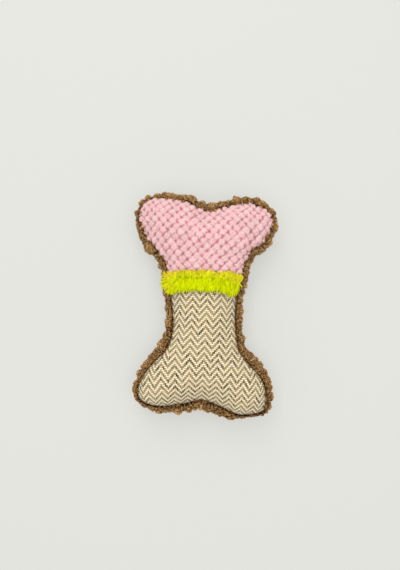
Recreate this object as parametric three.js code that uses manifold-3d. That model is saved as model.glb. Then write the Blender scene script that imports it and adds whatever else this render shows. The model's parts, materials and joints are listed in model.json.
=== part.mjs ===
// A stuffed bone toy for a dog, lying on its back panel with its face up.
// The face is sewn from three cloths: bobbled plush at the head end, a strip of long pile across
// the waist and a herringbone weave at the foot end. A rolled edging of curly fleece joins the face
// to a curly fleece back. Inside are the loose fibre fill and a squeaker: a moulded bladder with a
// plugged-in holder, where a thin reed flutters.
// Millimetres. X runs across the bone, Y along it towards the bobbled end, and Z up from the floor.

import * as THREE from "three";
import { mergeVertices } from "three/addons/utils/BufferGeometryUtils.js";
import Module from "manifold-3d";

// The whole toy
const toyLength = 240;
const toyWidth = 150;
const seamGap = 0.3;

// The edging, a strip of curly fleece between the face and the back
const edgingShow = 10;
const edgingHeight = 22;
const edgingThickness = 4;
const edgingRoll = 3;

// The cloths of the face and the back
const bobbleThickness = 4;
const herringboneThickness = 2;
const backThickness = 3;
const backSeamHeight = 13;
const floorFlat = 0.5;

// The fill, which gives the face its crown
const fillCrown = 16;
const lobeSwell = 2.5;

// The pile strip across the waist
const stripLow = 19;
const stripHigh = 35;
const stripDroop = 8;
const stripThickness = 1.5;
const pileHeight = 8;
const pileOverhang = 4;
const pileFlare = 1.5;

// The squeaker's bladder
const bladderHeight = 22;
const bladderWall = 1;
const neckHeight = 3.5;
const neckWall = 1.4;
const neckRootDepth = 1.4;

// The squeaker's plugged-in reed holder and what it holds
const fitGap = 0.15;
const holderRadius = 4.6;
const holderWall = 1.2;
const holderLength = 10;
const flangeLip = 2;
const flangeThickness = 1.2;
const bedLength = 9;
const bedGrooveWidth = 2.6;
const bedGrooveDepth = 1.4;
const clampLength = 1.4;
const reedWidth = 4.4;
const reedLength = 8;
const reedThickness = 0.25;
const reedGap = 0.12;

// The slit in the fill through which the squeaker was pushed in
const slitWidth = 40;
const slitHeight = 3;

// How finely the shapes are faceted
const stations = 96;
const crownSteps = 6;
const backSteps = 4;
const edgingSteps = 6;
const liningSteps = 3;
const pileStations = 22;
const turnSides = 24;

// One overrun for every cutter that passes right through a piece
const overrun = 20;

// The edging's outline from the head end's notch round the left side, the foot end and back up the
// right side: shares of half the width and half the length, then the share of edgingShow that the
// edging stands out past the face there.
const outlineShares = [
  [0.02, 0.9, 0.46],
  [-0.25, 0.97, 0.44],
  [-0.62, 1.0, 0.46],
  [-0.79, 0.98, 0.31],
  [-0.91, 0.93, 0.18],
  [-0.98, 0.84, 0.2],
  [-1.0, 0.74, 0.32],
  [-0.89, 0.56, 0.55],
  [-0.8, 0.48, 0.64],
  [-0.67, 0.41, 0.55],
  [-0.6, 0.32, 0.53],
  [-0.58, 0.21, 0.6],
  [-0.55, 0.09, 0.61],
  [-0.51, -0.14, 0.64],
  [-0.53, -0.25, 0.72],
  [-0.61, -0.35, 0.98],
  [-0.74, -0.45, 0.9],
  [-0.92, -0.65, 0.56],
  [-0.95, -0.74, 0.52],
  [-0.94, -0.82, 0.54],
  [-0.85, -0.88, 0.57],
  [-0.71, -0.92, 0.62],
  [-0.54, -0.95, 0.7],
  [-0.18, -0.93, 0.55],
  [-0.01, -0.91, 0.64],
  [0.27, -0.97, 0.84],
  [0.44, -1.0, 0.74],
  [0.62, -0.99, 0.44],
  [0.93, -0.92, 0.3],
  [1.0, -0.82, 0.48],
  [0.99, -0.71, 0.6],
  [0.95, -0.59, 0.8],
  [0.74, -0.42, 0.96],
  [0.62, -0.34, 0.82],
  [0.59, -0.26, 0.74],
  [0.56, -0.17, 0.68],
  [0.56, 0.03, 0.66],
  [0.57, 0.13, 0.58],
  [0.62, 0.23, 0.66],
  [0.66, 0.41, 0.56],
  [0.73, 0.48, 0.6],
  [0.86, 0.55, 0.54],
  [0.99, 0.74, 0.3],
  [0.98, 0.81, 0.32],
  [0.92, 0.89, 0.42],
  [0.7, 0.97, 0.55],
  [0.53, 0.98, 0.56],
  [0.36, 0.95, 0.45],
];

// The stuffed crown rises from the seams to a core, which runs down the middle of the bone and
// branches out to the middle of each lobe. Shares of half the width and half the length: where a
// lobe's branch ends, where the stem between the branches ends, and where the lobes begin.
const lobeCoreShares = [0.48, 0.72];
const stemShare = 0.48;
const lobeStartShare = 0.36;

// How square the rise is, and how far round it the innermost ring of the face lies
const crownPower = 2.6;
const faceTurn = THREE.MathUtils.degToRad(84);

// How far up the crown the pile's ends begin, and how much of its height is left there
const pileEndTurn = THREE.MathUtils.degToRad(13);
const pileEndShare = 0.75;

// The pile's section across the strip: shares of its half width and of its height. It parts along
// a line in its upper third.
const pileShares = [
  [-1, 0.1],
  [-0.93, 0.5],
  [-0.7, 0.86],
  [-0.35, 1],
  [0.05, 0.98],
  [0.32, 0.8],
  [0.45, 0.78],
  [0.62, 0.92],
  [0.84, 0.78],
  [0.97, 0.42],
  [1, 0.1],
];

// The bladder's radius as a share of the fill's half width at the waist
const bladderWaistShare = 0.7;

// The bladder's outer profile under its neck: shares of its radius and of half its height, with a
// folding step in each dome
const bladderShares = [
  [0, -1],
  [0.5, -1],
  [0.6, -0.84],
  [0.74, -0.8],
  [0.88, -0.55],
  [0.97, -0.26],
  [1, 0],
  [0.97, 0.26],
  [0.88, 0.55],
  [0.74, 0.8],
  [0.6, 0.84],
  [0.5, 1],
];

// What follows from the sizes above
const frontSeamHeight = backSeamHeight + edgingHeight;
const middleHeight = backSeamHeight + edgingHeight / 2;
const backTurn = Math.asin(1 - floorFlat / (backSeamHeight + floorFlat));
const backStack = backThickness + seamGap;
const stripMiddle = (stripLow + stripHigh) / 2;
const boreRadius = holderRadius - holderWall;
const flangeRadius = holderRadius + flangeLip;
const neckBore = holderRadius + fitGap;
const neckRadius = neckBore + neckWall;

const wasm = await Module();
wasm.setup();

// A closed mesh as a solid that can be cut and joined.
function toSolid(geometry) {
  const bare = geometry.clone();
  bare.deleteAttribute("normal");
  bare.deleteAttribute("uv");
  const merged = mergeVertices(bare, 1e-4);
  const solid = new wasm.Manifold(
    new wasm.Mesh({
      numProp: 3,
      vertProperties: merged.attributes.position.array,
      triVerts: new Uint32Array(merged.index.array),
    }),
  );
  return solid;
}

// A cut or joined solid as a mesh again.
function toGeometry(solid) {
  const mesh = solid.getMesh();
  const geometry = new THREE.BufferGeometry();
  geometry.setAttribute("position", new THREE.BufferAttribute(mesh.vertProperties, 3));
  geometry.setIndex(new THREE.BufferAttribute(mesh.triVerts, 1));
  geometry.computeVertexNormals();
  return geometry;
}

// The signed volume of an indexed mesh, positive when its faces point out.
function signedVolume(positions, indices) {
  const [a, b, c] = [new THREE.Vector3(), new THREE.Vector3(), new THREE.Vector3()];
  let volume = 0;
  for (let i = 0; i < indices.length; i += 3) {
    a.fromArray(positions, 3 * indices[i]);
    b.fromArray(positions, 3 * indices[i + 1]);
    c.fromArray(positions, 3 * indices[i + 2]);
    volume += a.dot(b.cross(c)) / 6;
  }
  return volume;
}

// The triangles that fill one ring, as places in it, wound as the ring is.
function capOf(ring, flatten) {
  const contour = ring.map(flatten);
  const triangles = THREE.ShapeUtils.triangulateShape(contour, []);
  const turnedOver = THREE.ShapeUtils.isClockWise(contour);
  return turnedOver ? triangles.map(([a, b, c]) => [a, c, b]) : triangles;
}

const inPlan = (point) => new THREE.Vector2(point.x, point.y);
const fromTheSide = (point) => new THREE.Vector2(point.y, point.z);

// Lofts a closed solid through rings of equal count. It joins up with itself, or it ends in caps,
// which are filled as they look when flattened.
function loft(rings, { joinsUp = false, flatten = inPlan } = {}) {
  const count = rings[0].length;
  const positions = rings.flatMap((ring) => ring.flatMap((point) => point.toArray()));
  const indices = [];
  const bands = joinsUp ? rings.length : rings.length - 1;
  for (let k = 0; k < bands; k++) {
    const [low, high] = [k * count, ((k + 1) % rings.length) * count];
    for (let i = 0; i < count; i++) {
      const j = (i + 1) % count;
      indices.push(low + i, low + j, high + j, low + i, high + j, high + i);
    }
  }
  if (!joinsUp) {
    const last = (rings.length - 1) * count;
    capOf(rings[0], flatten).forEach(([a, b, c]) => indices.push(a, c, b));
    capOf(rings.at(-1), flatten).forEach(([a, b, c]) => indices.push(last + a, last + b, last + c));
  }
  if (signedVolume(positions, indices) < 0) {
    indices.reverse();
  }
  const geometry = new THREE.BufferGeometry();
  geometry.setAttribute("position", new THREE.Float32BufferAttribute(positions, 3));
  geometry.setIndex(indices);
  return geometry;
}

// The edging's outline as stations that run anticlockwise seen from above, each with its place, its
// outward direction and how far the edging shows there.
function outlineStations() {
  const points = outlineShares.map(
    ([x, y, show]) => new THREE.Vector3((x * toyWidth) / 2, (y * toyLength) / 2, show * edgingShow),
  );
  const curve = new THREE.CatmullRomCurve3(points, true, "centripetal");
  const sampled = curve.getSpacedPoints(stations).slice(0, stations);
  const box = new THREE.Box3().setFromPoints(sampled);
  const [centre, size] = [box.getCenter(new THREE.Vector3()), box.getSize(new THREE.Vector3())];
  const places = sampled.map(
    (p) =>
      new THREE.Vector2(
        ((p.x - centre.x) * toyWidth) / size.x,
        ((p.y - centre.y) * toyLength) / size.y,
      ),
  );
  return places.map((place, i) => {
    const before = places[(i + stations - 1) % stations];
    const after = places[(i + 1) % stations];
    const along = after.clone().sub(before).normalize();
    return { place, out: new THREE.Vector2(along.y, -along.x), show: sampled[i].z };
  });
}

// The face cloth's thickness beside the edging: herringbone below the strip, bobbles above it.
function coverThickness(y) {
  const blend = THREE.MathUtils.smoothstep(y, stripLow, stripHigh);
  return THREE.MathUtils.lerp(herringboneThickness, bobbleThickness, blend);
}

// How far a place on the outline belongs to a lobe: not at all at the waist or in a notch between
// two lobes, and wholly round a lobe's outer side.
function lobeShareOf(place) {
  const [lobeX, lobeY] = lobeCoreShares;
  const across = THREE.MathUtils.smoothstep((2 * Math.abs(place.x)) / toyWidth, 0, lobeX);
  const along = (2 * Math.abs(place.y)) / toyLength;
  return across * THREE.MathUtils.smoothstep(along, lobeStartShare, lobeY);
}

// The point of the core that a place on the outline faces.
function coreOf(place) {
  const [lobeX, lobeY] = lobeCoreShares;
  const stemEnd = (stemShare * toyLength) / 2;
  const stem = new THREE.Vector2(0, THREE.MathUtils.clamp(place.y, -stemEnd, stemEnd));
  const lobe = new THREE.Vector2(
    (Math.sign(place.x) * lobeX * toyWidth) / 2,
    (Math.sign(place.y) * lobeY * toyLength) / 2,
  );
  return stem.lerp(lobe, lobeShareOf(place));
}

// The fill's line at the seams, inside the outline: the reach from it out to the outline, the core
// that it faces and how much the lobe swells there.
function fillLineOf(outline) {
  return outline.map(({ place, out, show }) => {
    const reach = show + coverThickness(place.y) + seamGap;
    const edge = place.clone().addScaledVector(out, -reach);
    return { edge, out, reach, core: coreOf(place), swell: lobeSwell * lobeShareOf(place) };
  });
}

const fillLine = fillLineOf(outlineStations());

// A point of the crown's rise on its superellipse, as shares of how far out and how high it lies.
function crownAt(turn, lastTurn) {
  return {
    out: Math.cos(turn) ** (2 / crownPower),
    rise: Math.sin(turn) / Math.sin(lastTurn),
  };
}

// Rings of a stuffed dome from its edge to its core, at a distance outside the fill. The dome rises
// or sinks from its base to its top, with the lobes' extra swell on top of that.
function domeRings({ distance, base, top, swells, steps, lastTurn }) {
  return Array.from({ length: steps + 1 }, (_, k) => {
    const share = crownAt((lastTurn * k) / steps, lastTurn);
    return fillLine.map(({ edge, out, core, swell }) => {
      const rim = edge.clone().addScaledVector(out, distance);
      const plan = core.clone().lerp(rim, share.out);
      const summit = top + (swells ? swell : 0);
      return new THREE.Vector3(plan.x, plan.y, THREE.MathUtils.lerp(base, summit, share.rise));
    });
  });
}

// The rings of the face at a distance outside the fill.
function faceRings(distance) {
  return domeRings({
    distance,
    base: frontSeamHeight,
    top: frontSeamHeight + fillCrown + distance,
    swells: true,
    steps: crownSteps,
    lastTurn: faceTurn,
  });
}

// The rings of the back at a distance outside the fill, down to the flat that the toy lies on.
function backRings(distance) {
  return domeRings({
    distance,
    base: backSeamHeight,
    top: backStack - distance,
    swells: false,
    steps: backSteps,
    lastTurn: backTurn,
  });
}

// A cloth over the fill: an outer skin, an inner skin and the cut edge that joins them.
function clothShell(ringsAt, thickness) {
  const outer = ringsAt(seamGap + thickness).reverse();
  return loft([...outer, ...ringsAt(seamGap)]);
}

// A stuffed dome with a flat base, which stands for everything under a cloth's outer skin.
function faceDome(distance) {
  const rings = faceRings(distance);
  const sunk = rings[0].map((p) => new THREE.Vector3(p.x, p.y, frontSeamHeight - overrun));
  return loft([sunk, ...rings]);
}

// Where a line across the strip lies along the bone, as its ends droop towards the foot end.
function stripSeam(x, y) {
  return y - stripDroop * ((2 * x) / toyWidth) ** 2;
}

// A block that covers the face from one strip seam to another height along the bone.
function faceZone(seamY, farY) {
  const half = toyWidth / 2 + overrun;
  const cuts = Array.from({ length: pileStations + 1 }, (_, i) => {
    const x = THREE.MathUtils.lerp(-half, half, i / pileStations);
    return new THREE.Vector2(x, stripSeam(x, seamY));
  });
  const shape = new THREE.Shape([
    ...cuts,
    new THREE.Vector2(half, farY),
    new THREE.Vector2(-half, farY),
  ]);
  const depth = fillCrown + lobeSwell + bobbleThickness + pileHeight + 2 * overrun;
  const block = new THREE.ExtrudeGeometry(shape, { depth, bevelEnabled: false });
  return toSolid(block.translate(0, 0, frontSeamHeight - overrun / 2));
}

const headZone = (edge) => faceZone(edge, toyLength / 2 + overrun);
const footZone = (edge) => faceZone(edge, -toyLength / 2 - overrun);

// The bobbled plush at the head end.
function bobblePanel() {
  const cloth = toSolid(clothShell(faceRings, bobbleThickness));
  return toGeometry(cloth.intersect(headZone(stripHigh + seamGap / 2)));
}

// The herringbone weave at the foot end.
function herringbonePanel() {
  const cloth = toSolid(clothShell(faceRings, herringboneThickness));
  return toGeometry(cloth.intersect(footZone(stripLow - seamGap / 2)));
}

// Where a level line across the bone meets the fill's line, on the side that the sign gives.
function fillEdgeAt(y, side) {
  const crossings = fillLine.flatMap(({ edge: a }, i) => {
    const b = fillLine[(i + 1) % stations].edge;
    const crosses = Math.sign(a.x) === side && (a.y - y) * (b.y - y) <= 0 && a.y !== b.y;
    return crosses ? [THREE.MathUtils.lerp(a.x, b.x, (y - a.y) / (b.y - a.y))] : [];
  });
  return crossings[0];
}

// A point over the waist at a turn round the crown from the left seam to the right one, a place
// along the bone and a distance outside the fill.
function waistPoint(turn, y, distance) {
  const side = turn < Math.PI / 2 ? -1 : 1;
  const share = crownAt(side < 0 ? turn : Math.PI - turn, faceTurn);
  const x = (fillEdgeAt(y, side) + side * distance) * share.out;
  const rise = (fillCrown + distance) * Math.min(share.rise, 1);
  return new THREE.Vector3(x, stripSeam(x, y), frontSeamHeight + rise);
}

// The pile of the strip: a mound with a parting, which sweeps across the waist over both seams,
// spreads towards its ends and thins out there.
function pileMound() {
  const half = (stripHigh - stripLow) / 2 + pileOverhang;
  const foot = stripThickness / 2;
  const rings = Array.from({ length: pileStations + 1 }, (_, i) => {
    const across = i / pileStations;
    const turn = THREE.MathUtils.lerp(pileEndTurn, Math.PI - pileEndTurn, across);
    const end = Math.abs(2 * across - 1);
    const height = pileHeight * THREE.MathUtils.lerp(1, pileEndShare, end ** 4);
    const spread = half + pileFlare * end;
    const section = pileShares.map(([y, z]) => [y * spread, foot + z * height]);
    const profile = [[-spread, foot], ...section, [spread, foot]];
    return profile.map(([y, distance]) => waistPoint(turn, stripMiddle + y, distance));
  });
  return loft(rings, { flatten: fromTheSide });
}

// The strip of long pile: its cloth between the two panels, and the pile that stands over both.
function pileStrip() {
  const cloth = toSolid(clothShell(faceRings, stripThickness))
    .intersect(headZone(stripLow + seamGap / 2))
    .intersect(footZone(stripHigh - seamGap / 2));
  const underHead = toSolid(faceDome(bobbleThickness + 2 * seamGap)).intersect(
    headZone(stripHigh - seamGap / 2),
  );
  const underFoot = toSolid(faceDome(herringboneThickness + 2 * seamGap)).intersect(
    footZone(stripLow + seamGap / 2),
  );
  const pile = toSolid(pileMound()).subtract(underHead).subtract(underFoot);
  return toGeometry(pile.add(cloth));
}

// The curly fleece back, flat where the toy lies on it.
function backPanel() {
  return clothShell(backRings, backThickness);
}

// How far the edging's lining bulges past the fill's line at a turn up or down from its middle.
function liningBulge(reach, turn) {
  return Math.max(reach - edgingThickness, 0) * Math.cos(turn);
}

// The turns from straight up, round the outside and down, in a number of steps.
function sideTurns(steps) {
  return Array.from({ length: steps + 1 }, (_, k) => Math.PI * (0.5 - k / steps));
}

// The fleece edging, a rolled strip round the fill's side that stands a little over both seams.
function edging() {
  const half = edgingHeight / 2;
  const sectionAt = ({ edge, out, reach }) => {
    const at = (distance, height) => {
      const plan = edge.clone().addScaledVector(out, distance);
      return new THREE.Vector3(plan.x, plan.y, middleHeight + height);
    };
    const besideFace = coverThickness(edge.y) + 2 * seamGap;
    const besideBack = backStack + seamGap;
    const skinAt = (turn) => {
      const beside = turn > 0 ? besideFace : besideBack;
      const distance = THREE.MathUtils.lerp(beside, reach, Math.cos(turn));
      return at(distance, (half + edgingRoll) * Math.sin(turn));
    };
    const liningAt = (turn) =>
      at(seamGap + liningBulge(reach, turn), (half - seamGap) * Math.sin(turn));
    return [
      at(besideFace, half - seamGap),
      ...sideTurns(edgingSteps).map(skinAt),
      at(besideBack, seamGap - half),
      ...sideTurns(liningSteps).reverse().map(liningAt),
    ];
  };
  const sections = fillLine.map(sectionAt);
  const rings = sections[0].map((_, k) => sections.map((section) => section[k]));
  return loft(rings, { joinsUp: true });
}

// The squeaker's bladder lies at the waist, halfway up the fill.
const squeakerStack = bladderHeight + neckHeight + fitGap + flangeThickness;
const fillTop = frontSeamHeight + fillCrown;
const bladderBase = (backStack + fillTop - squeakerStack) / 2;
const bladderRoof = bladderBase + bladderHeight;
const bladderMiddle = bladderBase + bladderHeight / 2;
const bladderRadius = bladderWaistShare * fillEdgeAt(0, 1);
const neckTop = bladderRoof + neckHeight;
const flangeUnder = neckTop + fitGap;
const holderTop = flangeUnder + flangeThickness;
const holderBottom = flangeUnder - holderLength;

// The bladder's outer profile, or that profile moved in by a wall.
function bladderProfile(inset) {
  const points = bladderShares.map(
    ([r, z]) => new THREE.Vector2(r * bladderRadius, bladderMiddle + (z * bladderHeight) / 2),
  );
  return points.map((point, i) => {
    const before = points[Math.max(i - 1, 0)];
    const after = points[Math.min(i + 1, points.length - 1)];
    const along = after.clone().sub(before).normalize();
    const moved = point.clone().add(new THREE.Vector2(-along.y, along.x).multiplyScalar(inset));
    return new THREE.Vector2(Math.max(moved.x, 0), moved.y);
  });
}

// A lathe about the upright axis through the squeaker's middle.
function turned(points) {
  return new THREE.LatheGeometry(points, turnSides).rotateX(Math.PI / 2);
}

// The squeaker's bladder: two thin domes with a folding step each, and an open neck.
function bladder() {
  const outer = bladderProfile(0);
  const inner = bladderProfile(bladderWall).reverse();
  const neck = [
    new THREE.Vector2(neckRadius, bladderRoof),
    new THREE.Vector2(neckRadius, neckTop),
    new THREE.Vector2(neckBore, neckTop),
    new THREE.Vector2(neckBore, bladderRoof - neckRootDepth),
    new THREE.Vector2(neckRadius, bladderRoof - neckRootDepth),
  ];
  return turned([...outer, ...neck, ...inner]);
}

// The holder: a flanged tube plugged into the neck.
function reedHolder() {
  const corners = [
    [boreRadius, holderBottom],
    [holderRadius, holderBottom],
    [holderRadius, flangeUnder],
    [flangeRadius, flangeUnder],
    [flangeRadius, holderTop],
    [boreRadius, holderTop],
    [boreRadius, holderBottom],
  ];
  return turned(corners.map(([r, z]) => new THREE.Vector2(r, z)));
}

// A half round of the holder's bore on one side of a flat, with a groove in the flat if it has one.
function halfRound({ flat, side, length, top, groove }) {
  const radius = boreRadius - fitGap;
  const start = Math.asin(flat / radius);
  const shape = new THREE.Shape();
  shape.absarc(0, 0, radius, start, Math.PI - start, false);
  if (groove) {
    shape.lineTo(-groove.width / 2, flat);
    shape.lineTo(-groove.width / 2, flat + groove.depth);
    shape.lineTo(groove.width / 2, flat + groove.depth);
    shape.lineTo(groove.width / 2, flat);
  }
  const options = { depth: length, bevelEnabled: false, curveSegments: turnSides / 2 };
  const solid = new THREE.ExtrudeGeometry(shape, options);
  if (side < 0) {
    solid.rotateZ(Math.PI);
  }
  return solid.translate(0, 0, top - length);
}

// The bed that the reed lies on, grooved for the air.
function reedBed() {
  return halfRound({
    flat: reedThickness / 2 + reedGap,
    side: -1,
    length: bedLength,
    top: holderTop,
    groove: { width: bedGrooveWidth, depth: bedGrooveDepth },
  });
}

// The short clamp that pins the reed's root to its bed.
function reedClamp() {
  return halfRound({
    flat: reedThickness / 2 + reedGap,
    side: 1,
    length: clampLength,
    top: holderTop,
  });
}

// The reed, a thin tongue with a round tip that hangs from its clamp.
function reed() {
  const half = reedWidth / 2;
  const shape = new THREE.Shape();
  shape.moveTo(-half, 0);
  shape.lineTo(-half, half - reedLength);
  shape.absarc(0, half - reedLength, half, Math.PI, 2 * Math.PI, false);
  shape.lineTo(half, 0);
  const options = { depth: reedThickness, bevelEnabled: false, curveSegments: crownSteps };
  const tongue = new THREE.ExtrudeGeometry(shape, options);
  tongue.translate(0, 0, -reedThickness / 2).rotateX(Math.PI / 2);
  return tongue.translate(0, 0, holderTop);
}

// The pocket that the squeaker lies in, with the slit that it was pushed in by.
function squeakerPocket() {
  const neckRoom = flangeRadius + seamGap;
  const pocket = turned([
    ...bladderProfile(-seamGap),
    new THREE.Vector2(neckRoom, bladderRoof + seamGap),
    new THREE.Vector2(neckRoom, holderTop + seamGap),
    new THREE.Vector2(0, holderTop + seamGap),
  ]);
  const slitLength = toyWidth / 2 + overrun;
  const slit = new THREE.BoxGeometry(slitLength, slitWidth, slitHeight);
  slit.translate(slitLength / 2, 0, bladderMiddle);
  return toSolid(pocket).add(toSolid(slit));
}

// The fibre fill: a flat-lying back, a bulging side and the crown, with the squeaker's pocket.
function fibreFill() {
  const turns = sideTurns(liningSteps).reverse();
  const side = turns.map((turn, k) => {
    const atSeam = k === 0 || k === turns.length - 1;
    const half = edgingHeight / 2 - (atSeam ? seamGap : 2 * seamGap);
    return fillLine.map(({ edge, out, reach }) => {
      const plan = edge.clone().addScaledVector(out, liningBulge(reach, turn));
      return new THREE.Vector3(plan.x, plan.y, middleHeight + half * Math.sin(turn));
    });
  });
  const body = loft([...backRings(0).reverse(), ...side, ...faceRings(0)]);
  return toGeometry(toSolid(body).subtract(squeakerPocket()));
}

// The finishes, each with its colour, roughness and metalness
const finish = (color, roughness) =>
  new THREE.MeshStandardMaterial({ color, roughness, metalness: 0 });
const bobblePink = finish(0xf4b4bc, 0.95);
const pileLime = finish(0xcfdd14, 0.9);
const herringboneWeave = finish(0xc4aa84, 0.85);
const fleeceBrown = finish(0x8f6d46, 0.98);
const fibreWhite = finish(0xf2f1ec, 1);
const bladderPlastic = finish(0xe9ecec, 0.45);
const holderPlastic = finish(0xf6f6f2, 0.35);
const reedFilm = finish(0xd9e6ea, 0.25);

function piece(name, geometry, material) {
  const mesh = new THREE.Mesh(geometry, material);
  mesh.name = name;
  return mesh;
}

const cover = new THREE.Group();
cover.add(piece("bobble_plush_panel", bobblePanel(), bobblePink));
cover.add(piece("long_pile_strip", pileStrip(), pileLime));
cover.add(piece("herringbone_panel", herringbonePanel(), herringboneWeave));
cover.add(piece("fleece_edging", edging(), fleeceBrown));
cover.add(piece("fleece_back_panel", backPanel(), fleeceBrown));

const squeaker = new THREE.Group();
squeaker.add(piece("squeaker_bladder", bladder(), bladderPlastic));
squeaker.add(piece("squeaker_reed_holder", reedHolder(), holderPlastic));
squeaker.add(piece("squeaker_reed_bed", reedBed(), holderPlastic));
squeaker.add(piece("squeaker_reed_clamp", reedClamp(), holderPlastic));
squeaker.add(piece("squeaker_reed", reed(), reedFilm));

const toy = new THREE.Group();
toy.add(cover);
toy.add(squeaker);
toy.add(piece("fibre_fill", fibreFill(), fibreWhite));

export default toy;
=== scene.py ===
"""A stuffed bone toy for a dog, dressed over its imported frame.

Lengths are millimetres, but metres in the meshes and materials. X runs across the bone, Y along
it towards the bobbled end, and Z up from the floor that the toy lies on.
"""

from __future__ import annotations

import json
import logging
import math
from dataclasses import dataclass, field
from enum import Enum
from typing import Callable, Sequence

import bmesh
import bpy
import numpy as np
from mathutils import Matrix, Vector, noise
from mathutils.bvhtree import BVHTree
from mathutils.geometry import delaunay_2d_cdt
from mathutils.kdtree import KDTree

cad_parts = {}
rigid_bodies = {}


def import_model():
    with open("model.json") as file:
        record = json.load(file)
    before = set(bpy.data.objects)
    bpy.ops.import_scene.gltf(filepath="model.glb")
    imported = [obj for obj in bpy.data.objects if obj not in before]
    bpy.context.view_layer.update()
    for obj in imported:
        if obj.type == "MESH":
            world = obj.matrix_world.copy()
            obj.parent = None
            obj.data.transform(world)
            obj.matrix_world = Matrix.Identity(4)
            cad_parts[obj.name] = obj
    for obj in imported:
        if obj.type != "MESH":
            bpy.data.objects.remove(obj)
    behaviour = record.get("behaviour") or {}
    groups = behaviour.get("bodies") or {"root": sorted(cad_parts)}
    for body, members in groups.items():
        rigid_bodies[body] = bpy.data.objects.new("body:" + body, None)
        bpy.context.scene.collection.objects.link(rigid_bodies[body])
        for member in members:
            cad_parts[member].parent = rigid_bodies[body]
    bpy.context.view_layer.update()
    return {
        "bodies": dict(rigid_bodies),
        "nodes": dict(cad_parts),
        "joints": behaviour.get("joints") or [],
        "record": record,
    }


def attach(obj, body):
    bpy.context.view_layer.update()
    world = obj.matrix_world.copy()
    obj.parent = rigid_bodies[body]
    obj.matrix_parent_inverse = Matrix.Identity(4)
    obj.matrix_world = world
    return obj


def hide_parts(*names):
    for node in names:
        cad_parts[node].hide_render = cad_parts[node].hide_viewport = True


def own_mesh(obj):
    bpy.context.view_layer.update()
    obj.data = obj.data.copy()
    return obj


LOG = logging.getLogger("bone_toy")
MM = 0.001

# The edging's outline from the head end's notch round the left side and the foot end: shares of
# half the width and half the length, then the share of the edging's greatest show.
OUTLINE_SHARES = (
    (0.02, 0.9, 0.46), (-0.25, 0.97, 0.44), (-0.62, 1.0, 0.46), (-0.79, 0.98, 0.31),
    (-0.91, 0.93, 0.18), (-0.98, 0.84, 0.2), (-1.0, 0.74, 0.32), (-0.89, 0.56, 0.55),
    (-0.8, 0.48, 0.64), (-0.67, 0.41, 0.55), (-0.6, 0.32, 0.53), (-0.58, 0.21, 0.6),
    (-0.55, 0.09, 0.61), (-0.51, -0.14, 0.64), (-0.53, -0.25, 0.72), (-0.61, -0.35, 0.98),
    (-0.74, -0.45, 0.9), (-0.92, -0.65, 0.56), (-0.95, -0.74, 0.52), (-0.94, -0.82, 0.54),
    (-0.85, -0.88, 0.57), (-0.71, -0.92, 0.62), (-0.54, -0.95, 0.7), (-0.18, -0.93, 0.55),
    (-0.01, -0.91, 0.64), (0.27, -0.97, 0.84), (0.44, -1.0, 0.74), (0.62, -0.99, 0.44),
    (0.93, -0.92, 0.3), (1.0, -0.82, 0.48), (0.99, -0.71, 0.6), (0.95, -0.59, 0.8),
    (0.74, -0.42, 0.96), (0.62, -0.34, 0.82), (0.59, -0.26, 0.74), (0.56, -0.17, 0.68),
    (0.56, 0.03, 0.66), (0.57, 0.13, 0.58), (0.62, 0.23, 0.66), (0.66, 0.41, 0.56),
    (0.73, 0.48, 0.6), (0.86, 0.55, 0.54), (0.99, 0.74, 0.3), (0.98, 0.81, 0.32),
    (0.92, 0.89, 0.42), (0.7, 0.97, 0.55), (0.53, 0.98, 0.56), (0.36, 0.95, 0.45),
)

# The columns of a flat cloth's values that follow its points' three.
INWARD, COSINE, SINE = 3, 4, 5

Points = np.ndarray
Piece = bpy.types.Object
Material = bpy.types.Material
Socket = bpy.types.NodeSocket
Value = Socket | float | tuple
Colour = tuple[float, float, float, float]
Pair = tuple[float, float]
Marks = dict[str, Points]  # for each vertex of a piece, the numbers that its finish reads


def wavy(points: Points, size: float) -> Points:
    """Smooth noise at places, from about -1 to 1, in waves of a size."""
    return np.array([noise.noise(Vector(point / size)) for point in points])


def smoothstep(value: Points | float, low: float, high: float) -> Points:
    """The smooth rise from 0 at low to 1 at high."""
    share = np.clip((np.asarray(value, dtype=float) - low) / (high - low), 0.0, 1.0)
    return share * share * (3.0 - 2.0 * share)


def lerp(low: Points | float, high: Points | float, share: Points | float) -> Points:
    """The value a share of the way from low to high."""
    return low + (high - low) * share


def unit(vectors: Points) -> Points:
    """The vectors made one long."""
    return vectors / np.maximum(np.linalg.norm(vectors, axis=-1, keepdims=True), 1e-9)


def nearest(places: Sequence[Sequence[float]]) -> KDTree:
    """A tree that finds the nearest of some places.

    Args:
        places: The places.

    Returns:
        The tree, which gives a place's number in their order.
    """
    tree = KDTree(len(places))
    for index, place in enumerate(places):
        tree.insert(place, index)
    tree.balance()
    return tree


class Side(Enum):
    """The two domes of the stuffed bone."""

    FACE = "face"
    BACK = "back"


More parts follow.
